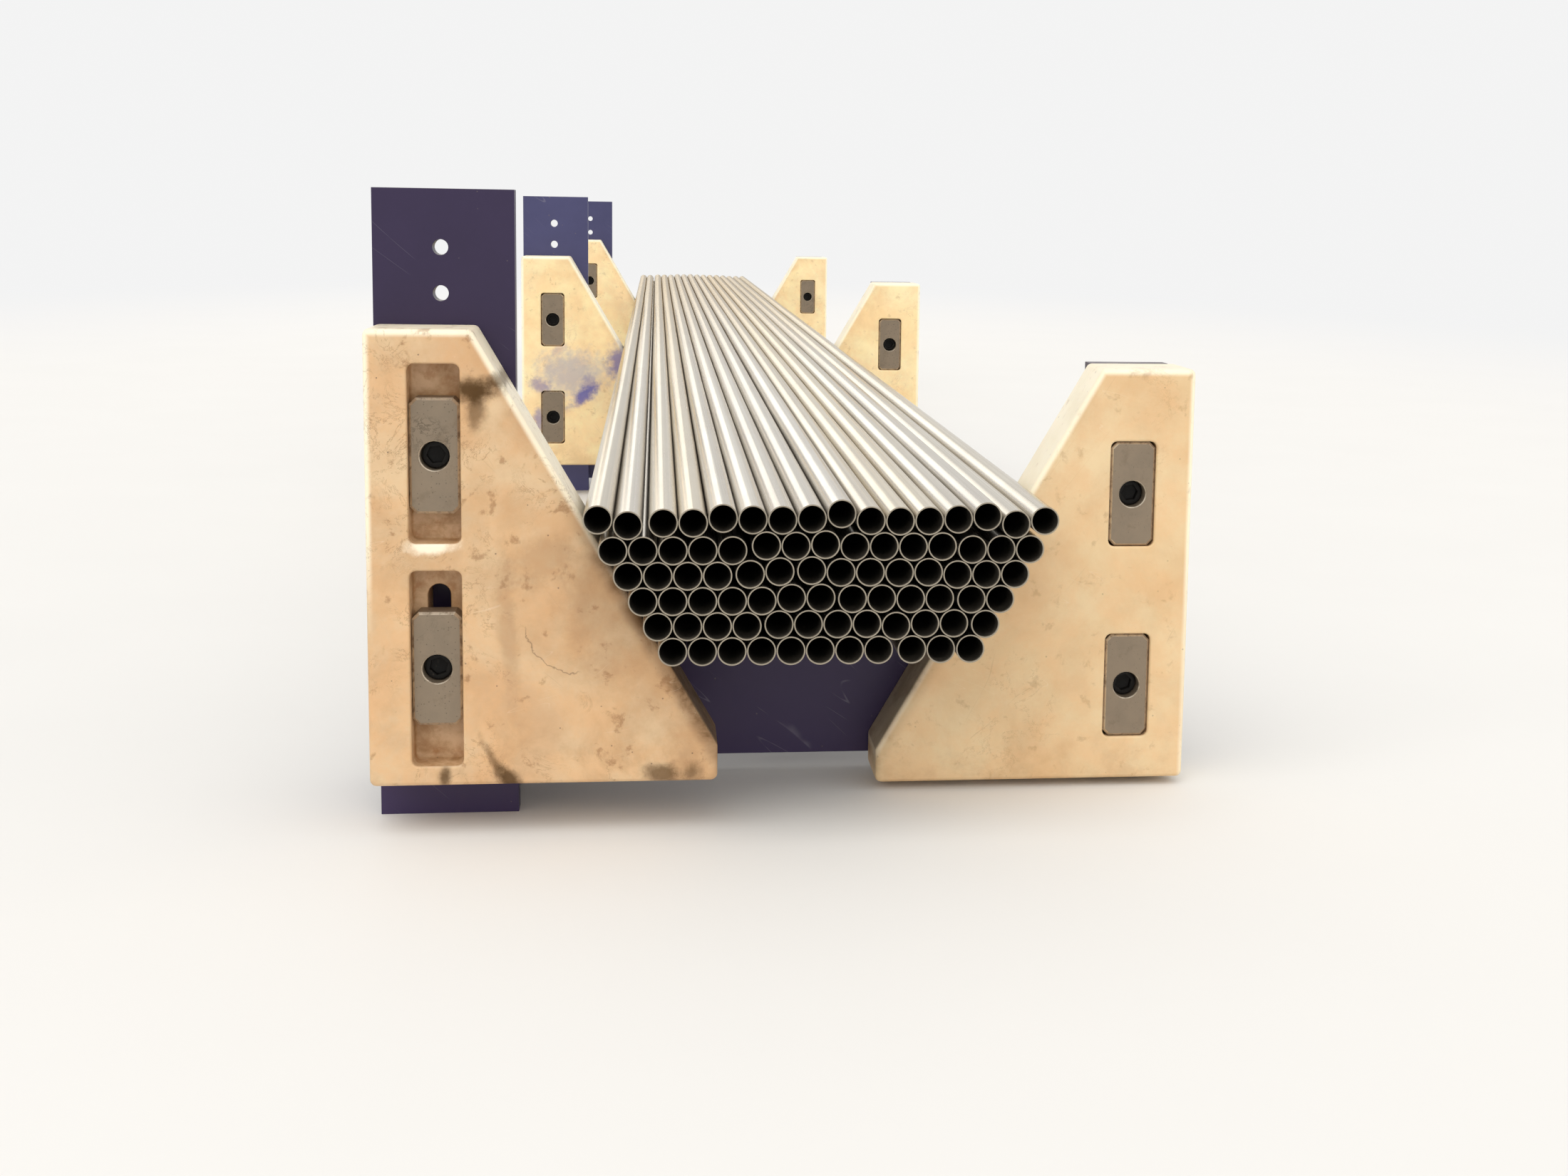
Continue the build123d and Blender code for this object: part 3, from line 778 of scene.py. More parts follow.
def paint_finish(settings, name, paint):
    """Paint of the station frames, chipped, scratched and dusty, with painted light on their lower parts."""
    finish = Finish(name)
    tree = finish.tree
    cloudy = finish.effect(patches_group(), Scale=6.0, Cover=0.5, Softness=0.3)
    chips = finish.effect(patches_group(), Scale=42.0, Cover=0.26, Softness=0.015, Shift=2.0)
    scratch = finish.effect(scratches_group(), Scale=26.0, Turn=0.9, Width=0.003)
    flecks = finish.effect(specks_group(), Scale=120.0, Size=0.18, Share=0.16)
    dust = finish.effect(dust_group(), Amount=0.55)
    peel = node(tree, "ShaderNodeTexNoise", {"Vector": finish.place, "Scale": 260.0, "Detail": 1.0})
    colour = blend(tree, cloudy, full(paint, 0.9), full(paint, 1.2))
    height = node(tree, "ShaderNodeSeparateXYZ", {0: finish.place}).outputs["Z"]
    # Painted light: below about 0.3 m the paint is lightened, up to half way towards twice its colour, where the
    # frames lie in shade.
    colour = blend(tree, ramp(tree, height, 0.30, 0.12, 0.0, 0.55), colour, full(paint, 2.0))
    colour = blend(tree, math_node(tree, "MULTIPLY", flecks, 0.5), colour, full((0.18, 0.15, 0.13)))
    colour = blend(tree, math_node(tree, "MULTIPLY", scratch, 0.3), colour, full((0.30, 0.29, 0.34)))
    colour = blend(tree, chips, colour, full(settings.primer))
    colour = blend(tree, dust, colour, full((0.36, 0.32, 0.28)))
    rough = math_node(tree, "ADD", 0.34, math_node(tree, "MULTIPLY", cloudy, 0.12))
    rough = math_node(tree, "ADD", rough, math_node(tree, "MULTIPLY", chips, 0.25), clamp=True)
    relief = math_node(tree, "SUBTRACT", math_node(tree, "MULTIPLY", peel.outputs["Fac"], 0.4), chips)
    finish.shader.inputs["Specular IOR Level"].default_value = 0.35
    return finish.surface(colour, rough, 0.0, relief, 0.16, 0.0005)


# Small tools for meshes

def solids_of(cad_node):
    """The corner points of each separate solid in a CAD node, in the order of its mesh."""
    shape = bmesh.new()
    shape.from_mesh(cad_node.data)
    bmesh.ops.remove_doubles(shape, verts=shape.verts, dist=1e-6)
    shape.verts.ensure_lookup_table()
    seen = [False] * len(shape.verts)
    solids = []
    for start in shape.verts:
        if seen[start.index]:
            continue
        seen[start.index] = True
        todo, points = [start], []
        while todo:
            corner = todo.pop()
            points.append(corner.co.copy())
            for edge in corner.link_edges:
                other = edge.other_vert(corner)
                if not seen[other.index]:
                    seen[other.index] = True
                    todo.append(other)
        solids.append(points)
    shape.free()
    return solids


def middle_of(points):
    """The mean of some points."""
    return sum(points, Vector()) / len(points)


def limits_of(points):
    """The lowest and highest corner of some points."""
    low = Vector([min(p[i] for p in points) for i in range(3)])
    high = Vector([max(p[i] for p in points) for i in range(3)])
    return low, high


def rounded(corners, radius, steps):
    """A closed outline in X and Z with an arc at each corner, going the way its corners go."""
    outline = []
    count = len(corners)
    for i, corner in enumerate(corners):
        before = (corners[i - 1] - corner).normalized()
        after = (corners[(i + 1) % count] - corner).normalized()
        half = before.angle(after) / 2
        centre = corner + (before + after).normalized() * (radius / math.sin(half))
        start = corner + before * (radius / math.tan(half)) - centre
        turn = math.pi - 2 * half
        way = 1.0 if before.x * after.y - before.y * after.x < 0 else -1.0
        for step in range(steps + 1):
            angle = way * turn * step / steps
            cos, sin = math.cos(angle), math.sin(angle)
            outline.append(centre + Vector((start.x * cos - start.y * sin, start.x * sin + start.y * cos)))
    return outline


def grown(corners, distance):
    """Corners of a convex outline, listed anticlockwise, moved outwards by a distance."""
    moved = []
    count = len(corners)
    for i, corner in enumerate(corners):
        before = (corner - corners[i - 1]).normalized()
        after = (corners[(i + 1) % count] - corner).normalized()
        out_before = Vector((before.y, -before.x))
        out_after = Vector((after.y, -after.x))
        both = (out_before + out_after).normalized()
        moved.append(corner + both * (distance / both.dot(out_before)))
    return moved


def rectangle(x, z, width, height):
    """Corners of a rectangle round a middle point, anticlockwise."""
    return [
        Vector((x - width / 2, z - height / 2)), Vector((x + width / 2, z - height / 2)),
        Vector((x + width / 2, z + height / 2)), Vector((x - width / 2, z + height / 2)),
    ]


class Shell:
    """A closed shell of rings of points, walls between rings and flat faces inside them."""

    def __init__(self):
        self.mesh = bmesh.new()

    def ring(self, outline, y):
        """Points on an outline in X and Z, at a depth Y."""
        return [self.mesh.verts.new((point.x, y, point.y)) for point in outline]

    def wall(self, first, second, material=0):
        """Quads between two rings of the same number of points."""
        count = len(first)
        for i in range(count):
            j = (i + 1) % count
            face = self.mesh.faces.new((first[i], first[j], second[j], second[i]))
            face.material_index = material

    def flat(self, rings, material=0):
        """A flat face that fills the first ring and leaves out the others."""
        edges = []
        for ring in rings:
            for i, corner in enumerate(ring):
                other = ring[(i + 1) % len(ring)]
                edge = self.mesh.edges.get((corner, other)) or self.mesh.edges.new((corner, other))
                edges.append(edge)
        filled = bmesh.ops.triangle_fill(self.mesh, use_beauty=True, edges=edges)
        for made in filled["geom"]:
            if isinstance(made, bmesh.types.BMFace):
                made.material_index = material

    def finish(self, name, materials, sharp=50.0):
        """The shell as an object, with its faces outwards and smooth below an angle."""
        bmesh.ops.recalc_face_normals(self.mesh, faces=self.mesh.faces)
        data = bpy.data.meshes.new(name)
        self.mesh.to_mesh(data)
        self.mesh.free()
        return dressed(name, data, materials, sharp)


def dressed(name, data, materials, sharp):
    """An object of a mesh, with its materials and shading."""
    data.name = name
    for material in materials:
        data.materials.append(material)
    for face in data.polygons:
        face.use_smooth = True
    data.set_sharp_from_angle(angle=math.radians(sharp))
    made = bpy.data.objects.new(name, data)
    bpy.context.scene.collection.objects.link(made)
    weigh = made.modifiers.new("Even shading", "WEIGHTED_NORMAL")
    weigh.keep_sharp = True
    return made


def settle(made):
    """Turn an object's modifiers into plain mesh."""
    graph = bpy.context.evaluated_depsgraph_get()
    plain = bpy.data.meshes.new_from_object(
        made.evaluated_get(graph), preserve_all_data_layers=True, depsgraph=graph)
    made.modifiers.clear()
    old = made.data
    made.data = plain
    plain.name = made.name
    if old.users == 0:
        bpy.data.meshes.remove(old)
    return made


def bevel_steps(radius, steps):
    """Offset and depth of each ring of a quarter-round edge, from the flat face to the wall."""
    turns = [math.pi / 2 * i / steps for i in range(steps + 1)]
    return [(radius * (1 - math.sin(t)), radius * (1 - math.cos(t))) for t in turns]


def node_named(name):
    """The CAD node of a name."""
    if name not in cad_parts:
        raise RuntimeError(f"the frame has no node {name}")
    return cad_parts[name]


# Geometry Nodes trees

def geometry_tree(name, inputs):
    """A Geometry Nodes tree with named inputs, its input and output nodes and its identifiers."""
    tree = bpy.data.node_groups.new(name, "GeometryNodeTree")
    tree.is_modifier = True
    tree.interface.new_socket(name="Geometry", in_out="OUTPUT", socket_type="NodeSocketGeometry")
    tree.interface.new_socket(name="Geometry", in_out="INPUT", socket_type="NodeSocketGeometry")
    keys = {}
    for label, kind in inputs:
        socket = tree.interface.new_socket(name=label, in_out="INPUT", socket_type=kind)
        keys[label] = socket.identifier
    return tree, tree.nodes.new("NodeGroupInput"), tree.nodes.new("NodeGroupOutput"), keys


def tube_tree(steel, bore, cut):
    """Tubes swept round a circle and set on points that carry each tube's direction."""
    tree, given, result, keys = geometry_tree("Steel tubes", (
        ("Length", FLOAT), ("Diameter", FLOAT), ("Wall", FLOAT), ("Cut edge", FLOAT),
        ("Sides", "NodeSocketInt"), ("Seed", "NodeSocketInt")))
    size = given.outputs
    outer = math_node(tree, "MULTIPLY", size["Diameter"], 0.5)
    middle = math_node(tree, "SUBTRACT", outer, math_node(tree, "MULTIPLY", size["Wall"], 0.5))
    path = node(tree, "GeometryNodeCurvePrimitiveCircle", {
        "Resolution": size["Sides"], "Radius": middle}, mode="RADIUS")
    section = node(tree, "GeometryNodeCurvePrimitiveQuadrilateral", mode="RECTANGLE")
    plug(tree, section.inputs["Width"], size["Wall"])
    plug(tree, section.inputs["Height"], size["Length"])
    eased = node(tree, "GeometryNodeFilletCurve", {"Curve": section.outputs[0]})
    eased.mode = "POLY"
    plug(tree, eased.inputs["Count"], 1)
    plug(tree, eased.inputs["Radius"], size["Cut edge"])
    swept = node(tree, "GeometryNodeCurveToMesh", {
        "Curve": path.outputs[0], "Profile Curve": eased.outputs[0]})
    half = math_node(tree, "MULTIPLY", size["Length"], 0.5)
    lifted = node(tree, "ShaderNodeCombineXYZ", {"Z": half})
    tube = node(tree, "GeometryNodeTransform", {
        "Geometry": swept.outputs[0], "Translation": lifted.outputs[0]}).outputs[0]

    smooth = node(tree, "GeometryNodeSetShadeSmooth", {"Geometry": tube}, domain="FACE")
    angle = node(tree, "GeometryNodeInputMeshEdgeAngle")
    crisp = node(tree, "GeometryNodeSetShadeSmooth", {"Geometry": smooth.outputs[0]}, domain="EDGE")
    sharp = node(tree, "FunctionNodeCompare", {0: angle.outputs[0], 1: 0.5}, operation="GREATER_THAN")
    plug(tree, crisp.inputs["Selection"], sharp.outputs[0])
    crisp.inputs["Shade Smooth"].default_value = False

    facing = node(tree, "ShaderNodeSeparateXYZ", {0: node(tree, "GeometryNodeInputNormal").outputs[0]})
    along = math_node(tree, "ABSOLUTE", facing.outputs["Z"])
    flat = vector_node(tree, "MULTIPLY", node(tree, "GeometryNodeInputPosition").outputs[0], (1.0, 1.0, 0.0))
    radius = vector_node(tree, "LENGTH", flat)
    inside = node(tree, "FunctionNodeCompare", {0: radius, 1: middle}, operation="LESS_THAN")
    ends = node(tree, "FunctionNodeCompare", {0: along, 1: 0.4}, operation="GREATER_THAN")
    shape = crisp.outputs[0]
    for material, chosen in ((steel, None), (bore, inside), (cut, ends)):
        coat = node(tree, "GeometryNodeSetMaterial", {"Geometry": shape, "Material": material})
        if chosen is not None:
            plug(tree, coat.inputs["Selection"], chosen.outputs[0])
        shape = coat.outputs[0]

    axis = node(tree, "GeometryNodeInputNamedAttribute", {"Name": "tube_axis"}, data_type="FLOAT_VECTOR")
    turn = node(tree, "FunctionNodeAlignRotationToVector", {"Vector": axis.outputs[0]}, axis="Z")
    placed = node(tree, "GeometryNodeInstanceOnPoints", {
        "Points": size["Geometry"], "Instance": shape, "Rotation": turn.outputs[0]})
    chance = node(tree, "FunctionNodeRandomValue", {"Seed": size["Seed"]}, data_type="FLOAT")
    toned = node(tree, "GeometryNodeStoreNamedAttribute", {
        "Geometry": placed.outputs[0], "Name": "tube_tone"}, data_type="FLOAT", domain="INSTANCE")
    plug(tree, toned.inputs["Value"], chance.outputs[1])
    real = node(tree, "GeometryNodeRealizeInstances", {"Geometry": toned.outputs[0]})
    plug(tree, result.inputs["Geometry"], real.outputs[0])
    return tree, keys


def copies_tree(materials):
    """Copies of one shape on points, each with a chance turn about Y."""
    tree, given, result, keys = geometry_tree("Placed copies", (
        ("Shape", "NodeSocketObject"), ("Turn", FLOAT), ("Seed", "NodeSocketInt")))
    source = node(tree, "GeometryNodeObjectInfo", {"Object": given.outputs["Shape"]})
    chance = node(tree, "FunctionNodeRandomValue", {"Seed": given.outputs["Seed"]}, data_type="FLOAT")
    plug(tree, chance.inputs[3], given.outputs["Turn"])
    turn = node(tree, "ShaderNodeCombineXYZ", {"Y": chance.outputs[1]})
    length = node(tree, "GeometryNodeInputNamedAttribute", {"Name": "stretch"}, data_type="FLOAT")
    scale = node(tree, "ShaderNodeCombineXYZ", {"X": 1.0, "Y": length.outputs[0], "Z": 1.0})
    placed = node(tree, "GeometryNodeInstanceOnPoints", {
        "Points": given.outputs["Geometry"], "Instance": source.outputs["Geometry"],
        "Rotation": turn.outputs[0], "Scale": scale.outputs[0]})
    real = node(tree, "GeometryNodeRealizeInstances", {"Geometry": placed.outputs[0]})
    shape = real.outputs[0]
    number = node(tree, "GeometryNodeInputMaterialIndex")
    for index, material in enumerate(materials):
        chosen = node(tree, "FunctionNodeCompare", {2: number.outputs[0], 3: index},
                      data_type="INT", operation="EQUAL")
        coat = node(tree, "GeometryNodeSetMaterial", {
            "Geometry": shape, "Selection": chosen.outputs[0], "Material": material})
        shape = coat.outputs[0]
    plug(tree, result.inputs["Geometry"], shape)
    return tree, keys


def points_object(name, places, axes=None, stretches=None):
    """An object of loose points, which may carry a direction or a stretch each."""
    data = bpy.data.meshes.new(name)
    data.from_pydata([tuple(place) for place in places], [], [])
    if axes is not None:
        layer = data.attributes.new("tube_axis", "FLOAT_VECTOR", "POINT")
        layer.data.foreach_set("vector", [part for axis in axes for part in axis])
    if stretches is not None:
        layer = data.attributes.new("stretch", "FLOAT", "POINT")
        layer.data.foreach_set("value", stretches)
    made = bpy.data.objects.new(name, data)
    bpy.context.scene.collection.objects.link(made)
    return made


def grow_tree(made, tree, values):
    """Run a tree on an object and keep its result as a plain mesh."""
    modifier = made.modifiers.new(tree.name, "NODES")
    modifier.node_group = tree
    for key, value in values:
        modifier[key] = value
    return settle(made)


# Operators

class BuildTubes(bpy.types.Operator):
    """Build the steel tubes of each layer"""
    bl_idname = "tube_bundle.tubes"
    bl_label = "Steel tubes"

    def execute(self, context):
        settings = context.scene.tube_settings
        tree, keys = tube_tree(
            steel_finish(settings), bore_finish(settings), cut_finish(settings))
        for layer in LAYERS:
            name = f"pipe_layer_{layer}"
            places, axes, lengths = [], [], []
            for points in solids_of(node_named(name)):
                low, high = limits_of(points)
                halfway = (low.y + high.y) / 2
                front = middle_of([p for p in points if p.y < halfway])
                back = middle_of([p for p in points if p.y > halfway])
                places.append(front)
                axes.append((back - front).normalized())
                lengths.append((back - front).length)
            made = points_object(f"tubes_layer_{layer}", places, axes)
            grow_tree(made, tree, (
                (keys["Length"], min(lengths)), (keys["Diameter"], settings.diameter),
                (keys["Wall"], settings.wall), (keys["Cut edge"], settings.cut_edge),
                (keys["Sides"], settings.sides), (keys["Seed"], settings.seed + layer)))
            if len(made.data.polygons) < 100:
                raise RuntimeError(f"{name} gave no tubes")
            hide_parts(name)
            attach(made, BODY)
        return {"FINISHED"}


class BuildChocks(bpy.types.Operator):
    """Build the six plastic chocks"""
    bl_idname = "tube_bundle.chocks"
    bl_label = "Plastic chocks"

    def execute(self, context):
        settings = context.scene.chock_settings
        pocket = pocket_finish(settings)
        for side in SIDES:
            plates = [limits_of(points) for points in solids_of(node_named(f"clamp_plates_{side}"))]
            for station in STATIONS:
                name = f"chock_{side}_{station}"
                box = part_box(name)
                plastic = plastic_finish(
                    f"Cream plastic {side} {station}", settings, side, box,
                    SMUDGES.get(name, ()), 1.0 if name == "chock_left_1" else 0.5,
                    0.3 * (station == 1 and side == "right") + 1.0 * (station > 1))
                own = [plate for plate in plates if box[0].y < plate[0].y < box[1].y]
                if len(own) != 2:
                    raise RuntimeError(f"{name} has {len(own)} clamp plates")
                made = self.chock(f"plastic_{name}", settings, side, box, own, (plastic, pocket))
                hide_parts(name)
                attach(made, BODY)
        return {"FINISHED"}

    def chock(self, name, settings, side, box, plates, materials):
        """One chock in the box of its CAD node: long pockets, or ones that fit its plates."""
        low, high = box
        sign = -1.0 if side == "left" else 1.0
        outer = low.x if side == "left" else high.x
        tip = high.x if side == "left" else low.x
        corners = [
            Vector((outer, low.z)), Vector((outer, high.z)),
            Vector((outer - sign * settings.top_width, high.z)),
            Vector((tip, low.z + settings.tip_height)), Vector((tip, low.z)),
        ]
        if side == "left":
            corners.reverse()
        axis = outer - sign * (settings.pocket_inset + settings.pocket_width / 2)
        edge = settings.edge
        shell = Shell()
        front, back = low.y, high.y

        def outline(inset):
            return rounded(grown(corners, -inset), settings.corner - 0.8 * inset, 4)

        rings = [shell.ring(outline(inset), front + depth) for inset, depth in bevel_steps(edge, 3)]
        rings += [shell.ring(outline(inset), back - depth) for inset, depth in reversed(bevel_steps(edge, 3))]
        for first, second in zip(rings, rings[1:]):
            shell.wall(first, second)
        mouths, exits = [], []
        for pocket in self.pockets(settings, name, high.z, plates):
            mouth, leave = self.pocket(shell, settings, axis, front, back, pocket)
            mouths.append(mouth)
            exits.append(leave)
        shell.flat([rings[0], *mouths])
        shell.flat([rings[-1], *exits])
        return settle(shell.finish(name, materials))

    def pockets(self, settings, name, top, plates):
        """Middle height, length, floor and opening of each pocket, the upper one first."""
        plates = sorted(plates, key=lambda plate: -plate[0].z)
        floors = [high.y for low, high in plates]
        if name.endswith("left_1"):
            long = ((0.030, 0.158, 0.114), (0.212, 0.176, 0.277))
            for (drop, length, slot_drop), floor in zip(long, floors):
                slot = (top - slot_drop, settings.slot_width, settings.slot_length)
                yield top - drop - length / 2, length, floor, slot
            return
        for (low, high), floor in zip(plates, floors):
            middle = (low.z + high.z) / 2
            hole = (middle, 0.0175, 0.0175)
            yield middle, high.z - low.z + 2 * settings.plate_gap, floor, hole

    def pocket(self, shell, settings, axis, front, back, pocket):
        """One pocket with the opening through its floor; gives its two outer rings."""
        middle, length, floor, (hole_z, hole_width, hole_length) = pocket
        corners = rectangle(axis, middle, settings.pocket_width, length)
        hole_corners = rectangle(axis, hole_z, hole_width, hole_length)

        def mouth(growth):
            return rounded(grown(corners, growth), 0.006 + growth, 4)

        def hole(growth):
            return rounded(grown(hole_corners, growth), (hole_width / 2 + growth) * 0.9999, 8)

        rim = bevel_steps(settings.pocket_edge, 3)
        walls = [shell.ring(mouth(inset), front + depth) for inset, depth in rim]
        for growth, lift in ((0.0, 0.003), (-0.0009, 0.0009), (-0.003, 0.0)):
            walls.append(shell.ring(mouth(growth), floor - lift))
        for i, (first, second) in enumerate(zip(walls, walls[1:])):
            shell.wall(first, second, 0 if i < 3 else 1)
        bores = [
            shell.ring(hole(0.001), floor), shell.ring(hole(0.0), floor + 0.001),
            shell.ring(hole(0.0), back - 0.001), shell.ring(hole(0.001), back)]
        for first, second in zip(bores, bores[1:]):
            shell.wall(first, second, 1)
        shell.flat([walls[-1], bores[0]], 1)
        return walls[0], bores[-1]


class BuildPlates(bpy.types.Operator):
    """Build the clamp plates in the chocks' pockets"""
    bl_idname = "tube_bundle.plates"
    bl_label = "Clamp plates"

    def execute(self, context):
        settings = context.scene.clamp_settings
        materials = (zinc_finish(settings), worn_edge_finish())
        tree, keys = copies_tree(materials)
        for side in SIDES:
            name = f"clamp_plates_{side}"
            boxes = [limits_of(points) for points in solids_of(node_named(name))]
            pattern = self.plate(settings, boxes[0], materials)
            places = [
                ((low.x + high.x) / 2, low.y, (low.z + high.z) / 2) for low, high in boxes]
            made = points_object(f"zinc_{name}", places, stretches=[1.0] * len(places))
            grow_tree(made, tree, (
                (keys["Shape"], pattern), (keys["Turn"], 0.0), (keys["Seed"], settings.seed)))
            bpy.data.objects.remove(pattern)
            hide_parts(name)
            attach(made, BODY)
        return {"FINISHED"}

    def plate(self, settings, box, materials):
        """One plate round the origin, with its front face at Y = 0."""
        low, high = box
        width, thickness, height = high - low
        slope = settings.plate_edge
        corners = rectangle(0.0, 0.0, width, height)
        shell = Shell()

        def outline(inset):
            return rounded(grown(corners, -inset), settings.plate_corner - inset / 2, 1)

        def circle(radius):
            turns = [2 * math.pi * i / 32 for i in range(32)]
            return [Vector((radius * math.cos(t), radius * math.sin(t))) for t in turns]

        rings = [
            shell.ring(outline(slope), 0.0), shell.ring(outline(0.0), slope),
            shell.ring(outline(0.0), thickness - 0.0008), shell.ring(outline(0.0008), thickness)]
        for i, (first, second) in enumerate(zip(rings, rings[1:])):
            shell.wall(first, second, 1 if i == 0 else 0)
        bore, hole = settings.counterbore / 2, settings.bolt_hole / 2
        inner = [
            shell.ring(circle(bore + 0.0009), 0.0), shell.ring(circle(bore), 0.0009),
            shell.ring(circle(bore), settings.counterbore_depth),
            shell.ring(circle(hole), settings.counterbore_depth),
            shell.ring(circle(hole), thickness)]
        for i, (first, second) in enumerate(zip(inner, inner[1:])):
            shell.wall(first, second, 1 if i == 0 else 0)
        shell.flat([rings[0], inner[0]])
        shell.flat([rings[-1], inner[-1]])
        return settle(shell.finish("plate_pattern", materials, 30.0))


class BuildScrews(bpy.types.Operator):
    """Build the socket screws of the clamp plates"""
    bl_idname = "tube_bundle.screws"
    bl_label = "Socket screws"

    def execute(self, context):
        settings = context.scene.clamp_settings
        materials = (black_finish(settings),)
        tree, keys = copies_tree(materials)
        for side in SIDES:
            name = f"clamp_screws_{side}"
            boxes = [limits_of(points) for points in solids_of(node_named(name))]
            pattern = self.screw(settings, boxes[0], materials)
            places = [
                ((low.x + high.x) / 2, low.y, (low.z + high.z) / 2) for low, high in boxes]
            lengths = [high.y - low.y for low, high in boxes]
            stretches = [length / lengths[0] for length in lengths]
            made = points_object(f"black_{name}", places, stretches=stretches)
            grow_tree(made, tree, (
                (keys["Shape"], pattern), (keys["Turn"], math.radians(60.0)),
                (keys["Seed"], settings.seed)))
            bpy.data.objects.remove(pattern)
            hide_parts(name)
            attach(made, BODY)
        return {"FINISHED"}

    def screw(self, settings, box, materials):
        """One screw with its head's top at Y = 0 and a six-sided socket."""
        low, high = box
        length = high.y - low.y
        head = (high.x - low.x) / 2
        shank = settings.shank / 2
        flat = settings.socket / 2
        count = 24
        turns = [2 * math.pi * i / count for i in range(count)]

        def circle(radius):
            return [Vector((radius * math.cos(t), radius * math.sin(t))) for t in turns]

        def hexagon(apothem):
            ring = []
            for t in turns:
                swing = (t % (math.pi / 3)) - math.pi / 6
                reach = apothem / math.cos(swing)
                ring.append(Vector((reach * math.cos(t), reach * math.sin(t))))
            return ring

        shell = Shell()
        top = settings.head_sink
        rings = [
            shell.ring(hexagon(flat * 0.35), top + settings.socket_depth + 0.0008),
            shell.ring(hexagon(flat), top + settings.socket_depth),
            shell.ring(hexagon(flat), top + 0.0006), shell.ring(hexagon(flat + 0.0006), top),
            shell.ring(circle(head - 0.0012), top), shell.ring(circle(head - 0.0004), top + 0.0004),
            shell.ring(circle(head), top + 0.0013), shell.ring(circle(head), settings.head_height),
            shell.ring(circle(shank), settings.head_height),
            shell.ring(circle(shank), length - 0.001), shell.ring(circle(shank - 0.001), length)]
        for first, second in zip(rings, rings[1:]):
            shell.wall(first, second)
        shell.flat([rings[0]])
        shell.flat([rings[-1]])
        return settle(shell.finish("screw_pattern", materials, 35.0))


class BuildFrames(bpy.types.Operator):
    """Paint the welded frames and soften their edges"""
    bl_idname = "tube_bundle.frames"
    bl_label = "Station frames"

    def execute(self, context):
        settings = context.scene.paint_settings
        navy = paint_finish(settings, "Navy paint", settings.paint)
        slate = paint_finish(settings, "Slate blue paint", settings.rear_paint)
        for station in STATIONS:
            paint = navy if station == 1 else slate
            name = f"station_frame_{station}"
            shape = bmesh.new()
            shape.from_mesh(node_named(name).data)
            bmesh.ops.remove_doubles(shape, verts=shape.verts, dist=1e-6)
            bmesh.ops.dissolve_limit(
                shape, angle_limit=math.radians(1.0), verts=shape.verts, edges=shape.edges)
            data = bpy.data.meshes.new(name)
            shape.to_mesh(data)
            shape.free()
            made = dressed(f"painted_{name}", data, (paint,), 40.0)
            made.modifiers.clear()
            soften = made.modifiers.new("Soft edges", "BEVEL")
            soften.width = settings.edge
            soften.segments = 2
            soften.limit_method = "ANGLE"
            soften.angle_limit = math.radians(50.0)
            weigh = made.modifiers.new("Even shading", "WEIGHTED_NORMAL")
            weigh.keep_sharp = True
            settle(made)
            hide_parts(name)
            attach(made, BODY)
        return {"FINISHED"}


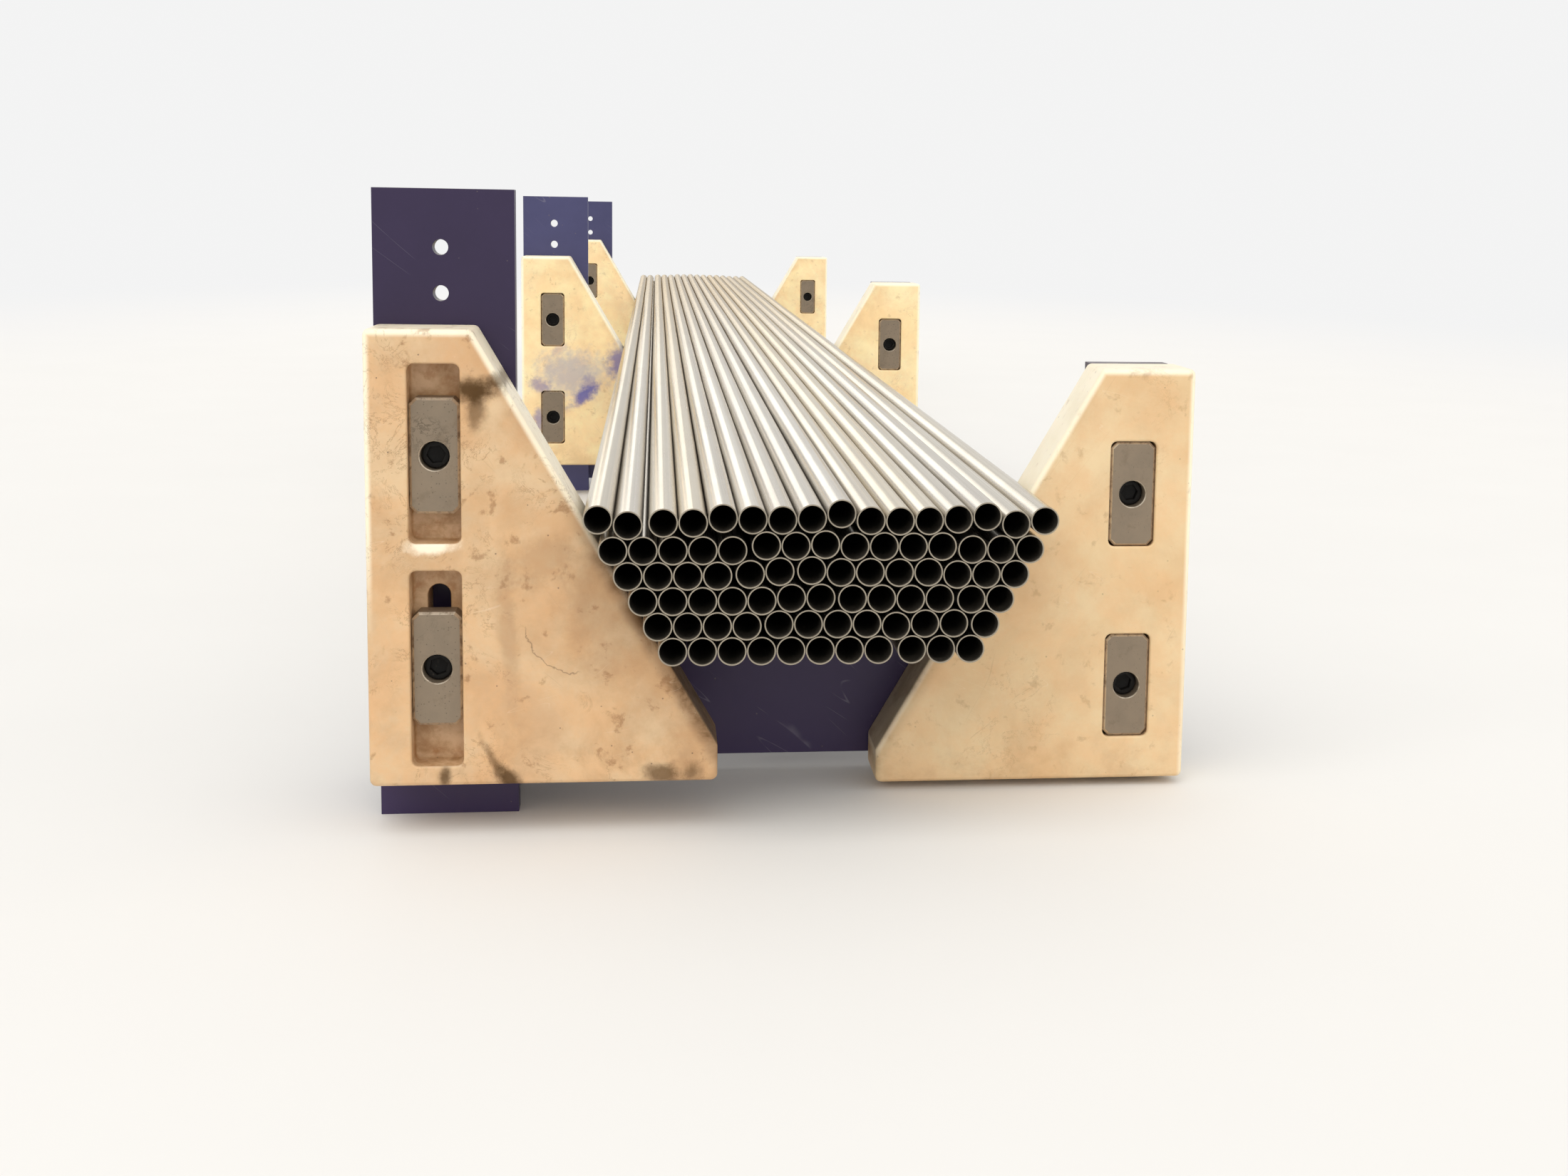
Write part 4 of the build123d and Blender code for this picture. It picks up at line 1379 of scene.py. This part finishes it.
class BuildStage(bpy.types.Operator):
    """Set the pale floor, the soft light and the camera"""
    bl_idname = "tube_bundle.stage"
    bl_label = "Floor, light and camera"

    def execute(self, context):
        settings = context.scene.stage_settings
        self.floor(settings)
        self.world(context, settings)
        self.lights()
        self.camera(context, settings)
        context.scene.view_settings.view_transform = "Standard"
        return {"FINISHED"}

    def floor(self, settings):
        """A round pale floor that fades into the white background and keeps the shadow."""
        shape = bmesh.new()
        bmesh.ops.create_circle(shape, cap_ends=True, segments=96, radius=settings.floor_radius)
        data = bpy.data.meshes.new("floor")
        shape.to_mesh(data)
        shape.free()
        made = bpy.data.objects.new("floor", data)
        bpy.context.scene.collection.objects.link(made)
        finish = Finish("Pale floor")
        tree = finish.tree
        noise = node(tree, "ShaderNodeTexNoise", {"Vector": finish.place, "Scale": 3.0, "Detail": 3.0})
        colour = blend(tree, noise.outputs["Fac"], full(settings.floor, 0.985), full(settings.floor, 1.015))
        finish.surface(colour, 0.75, 0.0)
        shorter = vector_node(tree, "MULTIPLY", finish.place, (1.0, 0.5, 1.0))
        far = ramp(tree, vector_node(tree, "LENGTH", shorter), 1.7, 5.5)
        path = node(tree, "ShaderNodeLightPath")
        seen = math_node(tree, "MAXIMUM", path.outputs["Is Camera Ray"], path.outputs["Is Glossy Ray"])
        seen = math_node(tree, "MAXIMUM", seen, path.outputs["Is Transmission Ray"])
        level = settings.horizon
        white = node(tree, "ShaderNodeEmission", {"Color": full((level, level, level))})
        mixed = node(tree, "ShaderNodeMixShader", {
            0: math_node(tree, "MULTIPLY", far, seen), 1: finish.shader.outputs[0], 2: white.outputs[0]})
        plug(tree, tree.nodes["Material Output"].inputs["Surface"], mixed.outputs[0])
        data.materials.append(finish.material)

    def world(self, context, settings):
        """Pale at the level of the eye and greyer overhead."""
        world = bpy.data.worlds.new("Studio")
        context.scene.world = world
        world.use_nodes = True
        tree = world.node_tree
        background = tree.nodes["Background"]
        place = node(tree, "ShaderNodeTexCoord").outputs["Generated"]
        parts = node(tree, "ShaderNodeSeparateXYZ", {0: place})
        height = ramp(tree, parts.outputs["Z"], 0.14, 0.5)
        top, level = settings.ceiling, settings.horizon
        colour = blend(tree, height, full((level, level, level)), full((top, top, top)))
        plug(tree, background.inputs["Color"], colour)
        background.inputs["Strength"].default_value = 1.0

    def lights(self):
        """Two soft high suns, the stronger one without a mirror image, and a panel beyond each end."""
        sun = bpy.data.lights.new("soft_sun", "SUN")
        sun.energy = 1.46
        sun.angle = math.radians(60.0)
        sun.color = (1.0, 0.97, 0.92)
        fill = bpy.data.lights.new("soft_fill", "SUN")
        fill.energy = 0.58
        fill.angle = math.radians(80.0)
        fill.color = (1.0, 0.97, 0.92)
        far_panel = self.panel("far_panel", 3.2, 2.2, 30.0)
        near_panel = self.panel("near_panel", 4.0, 3.2, 62.0)
        for data, place, aim in (
            (sun, (-2.8, -4.2, 6.5), (0.0, 0.0, 0.0)),
            (fill, (4.5, -2.5, 5.0), (0.0, 0.0, 0.0)),
            (far_panel, (-1.5, 13.0, 3.0), (0.0, 0.0, 0.3)),
            (near_panel, (2.2, -13.0, 4.6), (0.0, 0.0, 0.3)),
        ):
            made = bpy.data.objects.new(data.name, data)
            made.location = place
            way = Vector(aim) - Vector(place)
            made.rotation_euler = way.to_track_quat("-Z", "Y").to_euler()
            made.visible_camera = False
            made.visible_glossy = data is not sun
            bpy.context.scene.collection.objects.link(made)

    def panel(self, name, width, height, energy):
        """A soft upright lamp."""
        data = bpy.data.lights.new(name, "AREA")
        data.shape = "RECTANGLE"
        data.size, data.size_y = width, height
        data.energy = energy
        data.color = (1.0, 0.96, 0.88)
        return data

    def camera(self, context, settings):
        """The viewer, in front of the cut ends and a little above them."""
        turn, down, roll = (math.radians(angle) for angle in (7.106, 7.164, 0.981))
        forward = Vector((
            math.sin(turn) * math.cos(down), math.cos(turn) * math.cos(down), -math.sin(down)))
        level = Vector((math.cos(turn), -math.sin(turn), 0.0))
        upward = level.cross(forward)
        right = level * math.cos(roll) + upward * math.sin(roll)
        up = upward * math.cos(roll) - level * math.sin(roll)
        placed = Matrix((right, up, -forward)).transposed().to_4x4()
        placed.translation = Vector((-0.1325, -4.6175, 0.5580))
        data = bpy.data.cameras.new("viewer")
        data.sensor_width = 36.0
        data.lens = settings.lens
        data.shift_x, data.shift_y = -0.0678, -0.0866
        data.clip_end = 200.0
        made = bpy.data.objects.new("viewer", data)
        made.matrix_world = placed
        context.scene.collection.objects.link(made)
        context.scene.camera = made


OPERATORS = (BuildTubes, BuildChocks, BuildPlates, BuildScrews, BuildFrames, BuildStage)


class BundlePanel(bpy.types.Panel):
    """Buttons that build the bundle"""
    bl_idname = "VIEW3D_PT_tube_bundle"
    bl_label = "Tube bundle"
    bl_space_type = "VIEW_3D"
    bl_region_type = "UI"
    bl_category = "Tube Bundle"

    def draw(self, context):
        for operator in OPERATORS:
            self.layout.operator(operator.bl_idname)


SETTINGS = {
    "tube_settings": TubeSettings,
    "chock_settings": ChockSettings,
    "clamp_settings": ClampSettings,
    "paint_settings": PaintSettings,
    "stage_settings": StageSettings,
}


def register():
    """Make the settings, operators and panel known to Blender."""
    for name, group in SETTINGS.items():
        bpy.utils.register_class(group)
        setattr(bpy.types.Scene, name, PointerProperty(type=group))
    for operator in (*OPERATORS, BundlePanel):
        bpy.utils.register_class(operator)


def unregister():
    """Take the settings, operators and panel away again."""
    for operator in (BundlePanel, *reversed(OPERATORS)):
        bpy.utils.unregister_class(operator)
    for name, group in reversed(SETTINGS.items()):
        delattr(bpy.types.Scene, name)
        bpy.utils.unregister_class(group)


def main():
    """Build everything in order."""
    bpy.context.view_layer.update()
    register()
    bpy.ops.tube_bundle.tubes()
    bpy.ops.tube_bundle.chocks()
    bpy.ops.tube_bundle.plates()
    bpy.ops.tube_bundle.screws()
    bpy.ops.tube_bundle.frames()
    bpy.ops.tube_bundle.stage()


if __name__ == "__main__":
    main()
